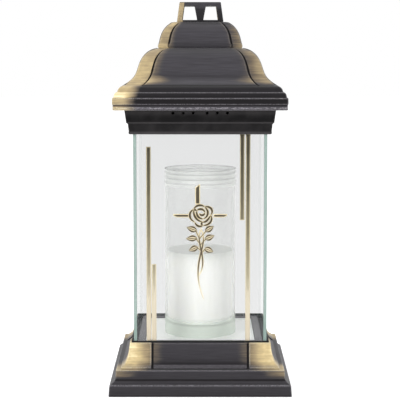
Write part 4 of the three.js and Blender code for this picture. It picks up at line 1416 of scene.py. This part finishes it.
# The rose in shares of the bloom's radius from its middle, across and up, drawn for this lantern
BLOOM = (
    ((-0.62, 0.62), (-1.12, 0.42), (-1.12, -0.28), (-0.55, -0.5)),
    ((-0.62, 0.62), (-0.5, 1.02), (0.12, 1.08), (0.3, 0.82)),
    ((0.3, 0.82), (0.78, 0.98), (1.2, 0.52), (0.86, 0.1)),
    ((0.86, 0.1), (1.12, -0.36), (0.7, -0.86), (0.16, -0.8)),
    ((-0.55, -0.5), (-0.42, -0.92), (-0.02, -0.98), (0.16, -0.8)),
    ((-0.62, 0.62), (-0.72, 0.1), (-0.42, -0.42), (0.16, -0.5)),
    ((0.86, 0.1), (0.62, -0.34), (0.4, -0.56), (0.16, -0.5)),
    ((0.16, -0.5), (0.02, -0.6), (0.02, -0.7), (0.16, -0.8)),
    ((0.3, 0.82), (0.72, 0.56), (0.72, -0.02), (0.2, -0.24)),
    ((-0.36, 0.5), (-0.44, 0.1), (-0.22, -0.2), (0.2, -0.24)),
    ((-0.36, 0.5), (-0.12, 0.74), (0.28, 0.66), (0.34, 0.32)),
    ((0.34, 0.32), (0.32, 0.04), (-0.08, 0.02), (-0.12, 0.26)),
    ((-0.36, 0.5), (-0.5, 0.56), (-0.56, 0.6), (-0.62, 0.62)),
)
STEMS = (
    ((0.06, -1.08), (-0.72, -2.3), (0.92, -3.9), (-0.34, -5.5)),
    ((0.02, -1.2), (0.82, -2.5), (-1.12, -4.2), (0.24, -7.35)),
)
LEAVES = (
    Leaf((-0.33, -1.3), (-1.28, -0.96), 0.22), Leaf((0.35, -1.36), (1.14, -0.86), 0.24),
    Leaf((-0.31, -1.93), (-1.34, -2.0), 0.34), Leaf((0.33, -2.04), (1.2, -1.7), 0.37),
    Leaf((-0.25, -2.7), (-1.08, -3.08), 0.48), Leaf((0.29, -2.82), (1.1, -3.18), 0.52),
)
# Half of a leaf's section from its edge to its midrib: share of its half width, and height
LEAF_SECTION = ((1.0, 0.0), (0.95, 0.5), (0.84, 1.1), (0.48, 1.1), (0.4, 0.5), (0.16, 0.45), (0.08, 1.05))


@dataclass
class GlassHouse:
    """The four panes, their seal and the gold ornament on the front pane."""

    finishes: Finishes
    face: float = -60.0
    proud: float = 0.6
    plate_steps: tuple[Pair, ...] = ((-0.6, 0.0), (-0.45, 0.2), (0.1, 0.34), (0.32, 0.6))
    mitre_limit: float = 0.3
    bloom_middle: Pair = (0.7, 160.0)
    bloom_radius: float = 10.2
    bloom_stroke: Pair = (2.75, 0.55)
    stem_stroke: Pair = (2.25, 0.5)
    stem_steps: int = 26
    stalk_stroke: Pair = (1.75, 1.0)
    stalk_start: float = 0.15
    stroke_top: float = 0.44
    stroke_height: float = 0.54
    leaf_width: float = 6.0
    leaf_steps: int = 12
    leaf_shape: float = 0.82
    leaf_end: float = 0.03
    thin_leaf: float = 0.35
    blade: Pair = (0.2, 0.7)
    vein: Three = (0.08, 38.0, 5.0)

    def build(self) -> None:
        """Dresses the panes and the seal, and builds the ornament."""
        for side in ("front", "right", "back", "left"):
            dress(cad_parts["pane_" + side], self.finishes.glass)
        dress(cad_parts["collar_seal"], self.finishes.silicone)
        for node in (
            "stripe_left_long", "stripe_left_short", "stripe_right_long", "stripe_right_short",
            "cross_post", "cross_arm_left", "cross_arm_right",
        ):
            finish = self.finishes.stripes if node.startswith("stripe") else self.finishes.rose
            fit(self.make_plate(node), finish, Body.STANDING, Slot.GOLD, node)
        self.build_rose()

    def make_plate(self, node: str) -> Piece:
        """A bar on the glass with a flat top and low flanks, painted as highlights, that run out beyond its
        outline.

        Args:
            node: The flat CAD node that it follows.

        Returns:
            The object.
        """
        found = {(round(v.co.x / MM, 3), round(v.co.z / MM, 3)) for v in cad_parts[node].data.vertices}
        middle = Vector((sum(p[0] for p in found), sum(p[1] for p in found))) / len(found)
        in_turn = sorted(found, key=lambda p: math.atan2(p[1] - middle.y, p[0] - middle.x))
        points = [Vector(p) for p in in_turn]
        rings = []
        for inset, proud in self.plate_steps:
            ring = []
            for i, here in enumerate(points):
                back = (here - points[i - 1]).normalized()
                ahead = (points[(i + 1) % len(points)] - here).normalized()
                inward = Vector((-back.y - ahead.y, back.x + ahead.x)).normalized()
                reach = inset / max(self.mitre_limit, inward.dot(Vector((-ahead.y, ahead.x))))
                spot = here + inward * reach
                ring.append(Vector((spot.x, self.face - proud, spot.y)) * MM)
            rings.append(ring)
        return new_piece(node + "_relief", loft(rings))

    def spot(self, across: float, up: float) -> Vector:
        """A point on the front glass in metres, from shares of the bloom's radius."""
        x, z = self.bloom_middle
        return Vector((x + across * self.bloom_radius, self.face, z + up * self.bloom_radius)) * MM

    def make_strokes(self, name: str, strokes: Sequence[Stroke]) -> Piece:
        """Drawn strokes with sloping flanks, by Geometry Nodes.

        Args:
            name: Name of the piece.
            strokes: Its strokes.

        Returns:
            The object.
        """
        tree = ShapeRecipe(name, Proud_share="Float")
        drawn = tree.add("GeometryNodeMeshToCurve", tree.given[0])
        reach = tree.add("GeometryNodeInputNamedAttribute", HALF_WIDTH, data_type="FLOAT")
        level = tree.add("GeometryNodeSetCurveNormal", {"Curve": drawn, "Normal": (0, -1, 0)}, mode="FREE")
        section = tree.add("GeometryNodeCurvePrimitiveQuadrilateral", mode="POINTS")
        top = self.stroke_top
        for corner, (across, lift) in enumerate(((1.0, 0.0), (-1.0, 0.0), (-top, 1.0), (top, 1.0)), 1):
            tall = tree.add(Kind.MULTIPLY, tree.given["Proud share"], lift)
            tree.give(section.inputs[f"Point {corner}"], tree.add("ShaderNodeCombineXYZ", tall, across))
        tree.close(tree.add("GeometryNodeCurveToMesh", {
            "Curve": level, "Profile Curve": section, "Scale": reach, "Fill Caps": True}))
        points, lines, halves = [], [], []
        for stroke in strokes:
            corners, first, ends = [self.spot(*c) for c in stroke.controls], len(points), stroke.end_share
            for i in range(stroke.steps + 1):
                at = i / stroke.steps
                points.append(bezier(corners, at) if len(corners) == 4 else corners[0].lerp(corners[1], at))
                halves.append(stroke.width / 2 * MM * (ends + (1 - ends) * math.sin(math.pi * at)))
            lines += [(k, k + 1) for k in range(first, len(points) - 1)]
        seed = Shape(points, [], halves, lines)
        return tree.grow(name, self.finishes.rose, seed, Proud_share=self.stroke_height)

    def make_leaf(self, leaf: Leaf) -> Shape:
        """A leaf with a raised border and midrib over a lower blade with faint veins.

        Args:
            leaf: Where it lies.

        Returns:
            Its shape.
        """
        foot, tip = self.spot(*leaf.foot), self.spot(*leaf.tip)
        along = tip - foot
        across = Vector((along.z, 0, -along.x)).normalized()
        depth, pace, slant = self.vein
        inner, outer = self.blade
        section = [(-u, lift) for u, lift in LEAF_SECTION] + [*reversed(LEAF_SECTION)]
        rings = []
        for i in range(self.leaf_steps + 1):
            at = i / self.leaf_steps
            half = self.leaf_width * MM * max(self.leaf_end, math.sin(math.pi * at**self.leaf_shape)) / 2
            middle = foot.lerp(tip, at)
            ring = []
            for u, lift in section:
                vein = depth * math.sin(at * pace - abs(u) * slant) if inner < abs(u) < outer else 0.0
                proud = (lift + vein) * self.proud * min(1.0, self.thin_leaf + half / MM)
                ring.append(middle + across * (u * half) + Vector((0, -max(0.0, proud) * MM, 0)))
            rings.append(ring)
        return loft(rings)

    def build_rose(self) -> None:
        """The bloom and the spray below it."""
        bloom = self.make_strokes("rose_bloom_relief", [Stroke(c, *self.bloom_stroke) for c in BLOOM])
        strokes = [Stroke(c, *self.stem_stroke, self.stem_steps) for c in STEMS]
        for leaf in LEAVES:
            start = tuple(a + (b - a) * self.stalk_start for a, b in zip(leaf.foot, leaf.tip))
            joint = tuple(bezier([Vector(c) for c in STEMS[0]], leaf.joint))
            strokes.append(Stroke((start, joint), *self.stalk_stroke))
        spray = self.make_strokes("rose_spray_relief", strokes)
        spray = join(spray, new_piece("rose_leaves", *(self.make_leaf(leaf) for leaf in LEAVES)))
        for piece, node in ((bloom, "rose_bloom"), (spray, "rose_spray")):
            fit(piece, self.finishes.rose, Body.STANDING, Slot.GOLD, node)


@dataclass
class Collar:
    """The black collar that grips the glass and carries the lid."""

    finishes: Finishes
    edge_round: float = 0.45
    corner: float = 1.0
    vent_radius: float = 1.35
    vent_sides: int = 24
    vent_count: int = 3
    vent_pitch: float = 9.05
    vent_place: Three = (6.1, -66.0, 252.9)
    vent_depth: float = 9.0

    def build(self) -> None:
        """Builds, cuts and dresses the collar."""
        outline = Profile(63.4, 233.8).through([
            (63.9, 235.1), (63.65, 236.4), (64.4, 243.2), (65.8, 244.1), (66.5, 249.5), (67.3, 255.5),
            (68.4, 262), (65.6, 262), (63, 244), (54.1, 244), (54.1, 233.8), (56.7, 233.8), (56.7, 241),
            (60.3, 241), (60.3, 233.8)])
        shape = square_moulding(outline.softened(self.edge_round, True), True, self.corner)
        piece = combine(new_piece("collar_frame", shape), self.make_vent_pins(), Joining.CUT)
        fit(piece, self.finishes.collar, Body.STANDING, Slot.COLLAR, "collar")

    def make_vent_pins(self) -> Piece:
        """Makes the pins that cut the vents, two rows of three through each side, by Geometry Nodes.

        Returns:
            The pins.
        """
        tree = ShapeRecipe("vent_pins", Radius="Float", Length="Float", Pitch="Float", Place="Vector")
        pin = tree.add("GeometryNodeMeshCylinder", {
            "Vertices": self.vent_sides, "Radius": tree.given["Radius"], "Depth": tree.given["Length"]})
        step = tree.add("ShaderNodeCombineXYZ", tree.given["Pitch"])
        row = tree.add("GeometryNodeMeshLine", {
            "Count": self.vent_count, "Start Location": tree.given["Place"], "Offset": step})
        back = tree.add("GeometryNodeTransform", {"Geometry": row, "Scale": (-1, 1, 1)})
        rows, sides = tree.add("GeometryNodeJoinGeometry"), tree.add("GeometryNodeJoinGeometry")
        for half_row in (row, back):
            tree.give(rows.inputs[0], half_row)
        side = tree.add("GeometryNodeInstanceOnPoints", {
            "Points": rows, "Instance": pin, "Rotation": (math.pi / 2, 0, 0)})
        for turn in range(4):
            tree.give(sides.inputs[0], tree.add("GeometryNodeTransform", {
                "Geometry": side, "Rotation": (0, 0, turn * math.pi / 2)}))
        tree.close(sides)
        radius, length, pitch = mm(self.vent_radius, self.vent_depth, self.vent_pitch)
        return tree.grow(
            "vent_pins", self.finishes.collar, Radius=radius, Length=length, Pitch=pitch,
            Place=mm(*self.vent_place))


@dataclass
class Lid:
    """The two tiers of the lid, the crown, and the heat shield with its posts and screws."""

    finishes: Finishes
    corner: float = 1.1
    panel_share: float = 0.76
    # The seam's -2 keeps its painted shade dark under the gold
    seam: tuple[Three, ...] = (
        (1.7, 0.0, 0.0), (1.2, -0.05, 0.1), (0.8, -0.4, -1.0), (0.5, -0.9, -2.0), (-0.5, -0.9, -2.0),
        (-0.8, 0.1, -1.0), (-1.1, 0.6, -0.1), (-1.5, 0.78, 0.3), (-2.4, 0.8, 0.0))
    post_place: float = 40.0
    ogee_flare: tuple[Pair, ...] = ((1, 0), (0.698, 0.171), (0.662, 0.273), (0.584, 0.491))
    ogee_crown: tuple[Pair, ...] = ((0.584, 0.491), (0.52, 0.677), (0.391, 0.957), (0, 1))
    dome: tuple[Pair, Pair] = ((39.0, 277.3), (28.1, 32.1))
    dome_steps: int = 14
    dome_wall: float = 2.6
    dome_round: float = 0.6
    bell_curve: tuple[Pair, ...] = ((1, 0), (0.878, 0.307), (0.832, 0.729), (0, 1))
    bell: tuple[Pair, Pair] = ((24.0, 314.3), (13.1, 19.5))
    bell_steps: int = 16
    bell_wall: float = 2.4
    bell_round: float = 0.45
    bell_corner: float = 0.9
    crown_bevel: float = 0.45

    def build(self) -> None:
        """Builds and dresses every piece of the lid."""
        self.build_dome()
        self.build_bell()
        crown = node_copy("crown_casting", "crown", self.crown_bevel)
        fit(crown, self.finishes.lid, Body.LID, Slot.LID, "crown")
        dress(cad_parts["heat_shield"], self.finishes.steel)
        self.build_fixings()

    def build_tier(self, name: str, outline: Profile, rounding: float, corner: float, node: str) -> None:
        """Builds a tier from its whole outline.

        Args:
            name: Name of the piece.
            outline: Its outline.
            rounding: How far from an edge its rounding starts.
            corner: Radius of its corners in plan.
            node: The CAD node that it stands for.
        """
        panel = Panel(lambda half: self.panel_share * half, self.seam)
        piece = new_piece(name, square_moulding(outline.softened(rounding, True), True, corner, panel))
        fit(piece, self.finishes.lid, Body.LID, Slot.LID, node)

    def build_dome(self) -> None:
        """The lower tier: skirt, stepped rim and ogee dome, with its seat and rib inside."""
        outline = Profile(77.1, 255.8).through([(77.1, 260.7), (77.6, 261.2), (77.6, 266.6), (76.2, 266.9)])
        outline.quarter_round(2.5, 4.7, 5).to(73.0, 271.9).quarter_round(5.9, 5.4, 6)
        outline.stations[-1] = Station(67.1, 277.3, 1.0)
        for shares in (self.ogee_flare, self.ogee_crown):
            outline.curve(shares, *self.dome, self.dome_steps)
        inside = outline.back_inside(self.dome_wall)
        outline.through([(38.5, 309.9), (33, 309.9), (33, 307.2)]).through(inside).through([
            (64.5, 274.7), (70.4, 269.3), (73.4, 264.6), (63, 264.6), (63, 262), (70, 262), (70, 257.6),
            (71.6, 257.6), (71.6, 262), (74.5, 262), (74.5, 255.8)])
        self.build_tier("lid_dome", outline, self.dome_round, self.corner, "roof_lower")

    def build_bell(self) -> None:
        """The upper tier: bead and bell, with its web and spigot inside."""
        outline = Profile(37.6, 309.9).to(38.1, 311.2, 0.5).to(38.1, 312.5, 0.5).to(37.6, 313.8, 0.6)
        outline.to(37.1, 314.3, 1.0).curve(self.bell_curve, *self.bell, self.bell_steps)
        inside = outline.back_inside(self.bell_wall)
        outline.through([(17.4, 333.8), (17.4, 331.4)]).through(inside).through([
            (35.0, 312.3), (30.4, 312.3), (30.4, 305.9), (32.7, 305.9), (32.7, 309.9)])
        self.build_tier("lid_bell", outline, self.bell_round, self.bell_corner, "roof_upper")

    def build_fixings(self) -> None:
        """The posts and the screws that hold the heat shield, four of each, by Geometry Nodes."""
        tree = ShapeRecipe("four_corners", Half="Float")
        span = tree.add(Kind.MULTIPLY, tree.given["Half"], 2.0)
        places = tree.add("GeometryNodeMeshGrid", span, span, 2, 2)
        tree.close(tree.add("GeometryNodeInstanceOnPoints", {"Points": places, "Instance": tree.given[0]}))
        post = ring_stack([(1.7, 279.5), (1.7, 271.2), (3.5, 271.2), (3.5, 296.5)])
        screw = ring_stack([
            (0.9, 268.2), (0.9, 267.5), (2.0, 267.55), (3.0, 268.0), (3.4, 268.8), (3.4, 269.3), (1.4, 269.3),
            (1.4, 277.6), (0.9, 278.3)])
        screws = [f"shield_screw_{i}" for i in range(1, 5)]
        for name, seed, finish, slot, nodes in (
            ("shield_posts", post, self.finishes.lid, Slot.LID, []),
            ("shield_screws", screw, self.finishes.steel, Slot.STEEL, screws),
        ):
            fit(tree.grow(name, finish, seed, Half=self.post_place * MM), finish, Body.LID, slot, *nodes)


def ring_stack(outline: Sequence[Pair], sides: int = 20) -> Shape:
    """A small turned body about the upright axis, capped at both ends.

    Args:
        outline: Radii and heights in millimetres.
        sides: Number of sides.

    Returns:
        Its shape.
    """
    turns = [i * math.tau / sides for i in range(sides)]
    return loft([
        [Vector((radius * math.cos(a), radius * math.sin(a), z)) * MM for a in turns]
        for radius, z in outline])


@dataclass
class CandleInsert:
    """The translucent cup with its wax, wick and wick foot."""

    finishes: Finishes
    foot: float = 42.5
    radius: float = 33.25
    wall: float = 1.0
    height: float = 155.5
    ring_drops: tuple[float, ...] = (3.2, 7.5, 12.2, 15.0)
    ring_bulge: float = 0.7
    wax_span: Pair = (54.2, 121.0)
    wick_radius: float = 1.1
    wick_span: Pair = (54.7, 129.0)
    wick_sides: int = 18
    wick_levels: int = 90
    wick_turns: int = 7
    wick_strands: int = 3
    wick_groove: float = 0.16

    def build(self) -> None:
        """Builds and dresses the insert."""
        turning = Turning()
        for name, outline, closed, finish, slot, node in (
            ("candle_cup", self.cup_outline(), False, self.finishes.cup, Slot.CUP, "insert_cup"),
            ("candle_wax", self.wax_outline(), True, self.finishes.wax, Slot.WAX, "wax"),
        ):
            fit(turning.make(name, outline, closed, finish), finish, Body.INSERT, slot, node)
        self.build_wick()
        dress(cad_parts["wick_foot"], self.finishes.steel)

    def cup_outline(self) -> list[Pair]:
        """Draws the cup: raised floor, hollow foot and rounded rings below the rim.

        Returns:
            Radius and height of each point.
        """
        radius, inner, height = self.radius, self.radius - self.wall, self.height
        outline = [(0, 10.5), (31, 10.5), (31.5, 10), (32.2, 0.3), (32.5, 0), (33, 0), (radius, 0.5)]
        for drop in reversed(self.ring_drops):
            for i in range(-3, 4):
                bulge = 0.5 + 0.5 * math.cos(i * math.pi / 3)
                outline.append((radius + self.ring_bulge * bulge, height - drop + 0.3 * i))
        outline += [
            (radius, height - 1.6), (radius + 0.4, height - 0.5), (radius + 0.3, height - 0.1),
            (radius, height), (inner + 0.2, height), (inner, height - 0.3), (inner, 12.8),
            (inner - 0.4, 12.1), (inner - 1.2, 11.7), (0, 11.7)]
        return [(r, z + self.foot) for r, z in outline]

    def wax_outline(self) -> list[Pair]:
        """Draws the wax, a little sunk towards the wick.

        Returns:
            Radius and height of each point.
        """
        low, top = self.wax_span
        return [
            (8.3, low), (31.5, low), (31.95, low + 0.5), (31.95, top - 1), (31.7, top - 0.3), (31.1, top),
            (29.5, top - 0.25), (24, top - 0.8), (14, top - 1.2), (5, top - 1.3), (2.6, top - 1.0),
            (1.4, top - 0.5), (1.4, low + 3.8), (2.2, low + 3.8), (2.2, low + 0.8), (8.3, low + 0.8)]

    def build_wick(self) -> None:
        """The wick: three twisted strands."""
        low, top = self.wick_span
        groove = self.wick_groove
        rings = []
        for level in range(self.wick_levels + 1):
            z = low + (top - low) * level / self.wick_levels
            twist = level / self.wick_levels * self.wick_turns * math.tau
            ring = []
            for i in range(self.wick_sides):
                turn = i * math.tau / self.wick_sides
                strand = math.cos(self.wick_strands * (turn - twist))
                radius = self.wick_radius * (1 - groove + groove * strand)
                ring.append(Vector((radius * math.cos(turn), radius * math.sin(turn), z)) * MM)
            rings.append(ring)
        piece = new_piece("candle_wick", loft(rings))
        fit(piece, self.finishes.cotton, Body.INSERT, Slot.COTTON, "wick")


@dataclass
class Studio:
    """Pale floor, soft lamps, white surroundings and the camera at the photograph's angle."""

    camera_place: Three = (0.0, -1.260, 0.319)
    pitch: float = 5.451
    lens: float = 121.34
    shift: Pair = (-0.0005, -0.0828)
    lamps: tuple[tuple[str, Three, Pair, float], ...] = (
        ("key", (-0.8, -1.0, 0.72), (0.5, 0.8), 8.8), ("fill", (0.8, -1.05, 0.5), (0.6, 0.8), 6.6),
        ("top", (0.0, 0.1, 1.3), (0.9, 0.9), 3.2))
    lamp_target: Three = (0.0, 0.0, 0.17)
    world_front: float = 0.5
    world_back: float = 0.9
    room_span: Pair = (-0.9, 0.5)
    gloss_span: Pair = (-0.6, 0.4)
    through_glass: float = 0.82
    floor_reach: float = 6.0
    floor_colours: tuple[str, str] = ("F2F2F2", "7C7C7C")
    floor_glow: Pair = (0.5, 0.64)

    def build(self) -> None:
        """Builds the studio."""
        self.build_world()
        self.build_floor()
        for lamp in self.lamps:
            self.build_lamp(*lamp)
        data = bpy.data.cameras.new("camera")
        data.lens = self.lens
        data.shift_x, data.shift_y = self.shift
        camera = put("camera", data)
        camera.location = self.camera_place
        camera.rotation_euler = (math.radians(90 - self.pitch), 0, 0)
        bpy.context.scene.camera = camera

    def build_world(self) -> None:
        """White to the camera, and a room that is paler behind the lantern than in front of it."""
        world = bpy.data.worlds.new("studio")
        world.use_nodes = True
        s = Recipe(world.node_tree)
        s.tree.nodes.clear()
        way = s.add("ShaderNodeSeparateXYZ", s.add("ShaderNodeTexCoord").outputs["Generated"]).outputs["Y"]
        room = s.add(Kind.SOFT_RANGE, way, *self.room_span, self.world_front, self.world_back)
        shown = s.add(Kind.RANGE, way, *self.gloss_span, self.world_front, 1.0)
        light, white = self.backdrop_white(s)
        seen = s.add(Kind.MOST, light["Is Camera Ray"], light["Is Transmission Ray"])
        strength = s.add(Kind.BETWEEN, light["Is Glossy Ray"], room, shown)
        strength = s.add(Kind.BETWEEN, seen, strength, white)
        back = s.add("ShaderNodeBackground", (1, 1, 1, 1), strength)
        s.add("ShaderNodeOutputWorld", back)
        bpy.context.scene.world = world

    def backdrop_white(self, s: Recipe) -> tuple[bpy.types.bpy_prop_collection, Node]:
        """Works out the backdrop's white, which is a little greyer behind the panes.

        Args:
            s: The tree that needs it.

        Returns:
            Light Path's outputs, and the white's node.
        """
        light = s.add("ShaderNodeLightPath").outputs
        behind = s.add(Kind.PAST, light["Transparent Depth"], 0.5)
        return light, s.add(Kind.BETWEEN, behind, 1.0, self.through_glass)

    def build_floor(self) -> None:
        """A wide pale floor that stays white to the camera outside the shadow."""
        reach = self.floor_reach
        corners = [Vector((x * reach, y * reach, 0)) for x, y in ((-1, -1), (1, -1), (1, 1), (-1, 1))]
        floor = put("studio_floor", draw("studio_floor", [Shape(corners, [(0, 1, 2, 3)])], EDGE))
        s = Surface("pale_studio_floor", Roughness=0.9, Specular_IOR_Level=0.1)
        light, white = self.backdrop_white(s)
        seen = s.chain(
            Kind.MOST, light["Is Camera Ray"], light["Is Glossy Ray"], light["Is Transmission Ray"])
        # Behind the panes the floor shows little of its own light and shade
        veiled = s.add(Kind.RANGE, white, 1.0, self.through_glass)
        veiled = s.add(Kind.MULTIPLY, veiled, light["Is Camera Ray"])
        lift = s.add(Kind.RANGE, veiled, 0.0, 1.0, *self.floor_glow)
        dress(floor, s.finish(
            Base_Color=s.add(Kind.BLEND, veiled, *self.floor_colours), Emission_Color=(1, 1, 1, 1),
            Emission_Strength=s.add(Kind.MULTIPLY, seen, lift)))

    def build_lamp(self, name: str, place: Three, size: Pair, power: float) -> None:
        """A soft lamp that faces the lantern's middle.

        Args:
            name: Its name.
            place: Where it stands, in metres.
            size: Its width and height in metres.
            power: Its power in watts.
        """
        lamp = bpy.data.lights.new(name, "AREA")
        lamp.shape, lamp.energy = "RECTANGLE", power
        lamp.size, lamp.size_y = size
        holder = put(name, lamp)
        holder.location = place
        holder.rotation_euler = (Vector(self.lamp_target) - Vector(place)).to_track_quat("-Z", "Y").to_euler()


def main() -> None:
    """Builds the lantern and its studio."""
    logging.basicConfig(level=logging.INFO, format="%(name)s: %(message)s")
    finishes = Finishes()
    for part in (Plinth, GlassHouse, Collar, Lid, CandleInsert):
        part(finishes).build()
    Studio().build()
    bpy.context.scene.view_settings.view_transform = "Standard"


if __name__ == "__main__":
    main()
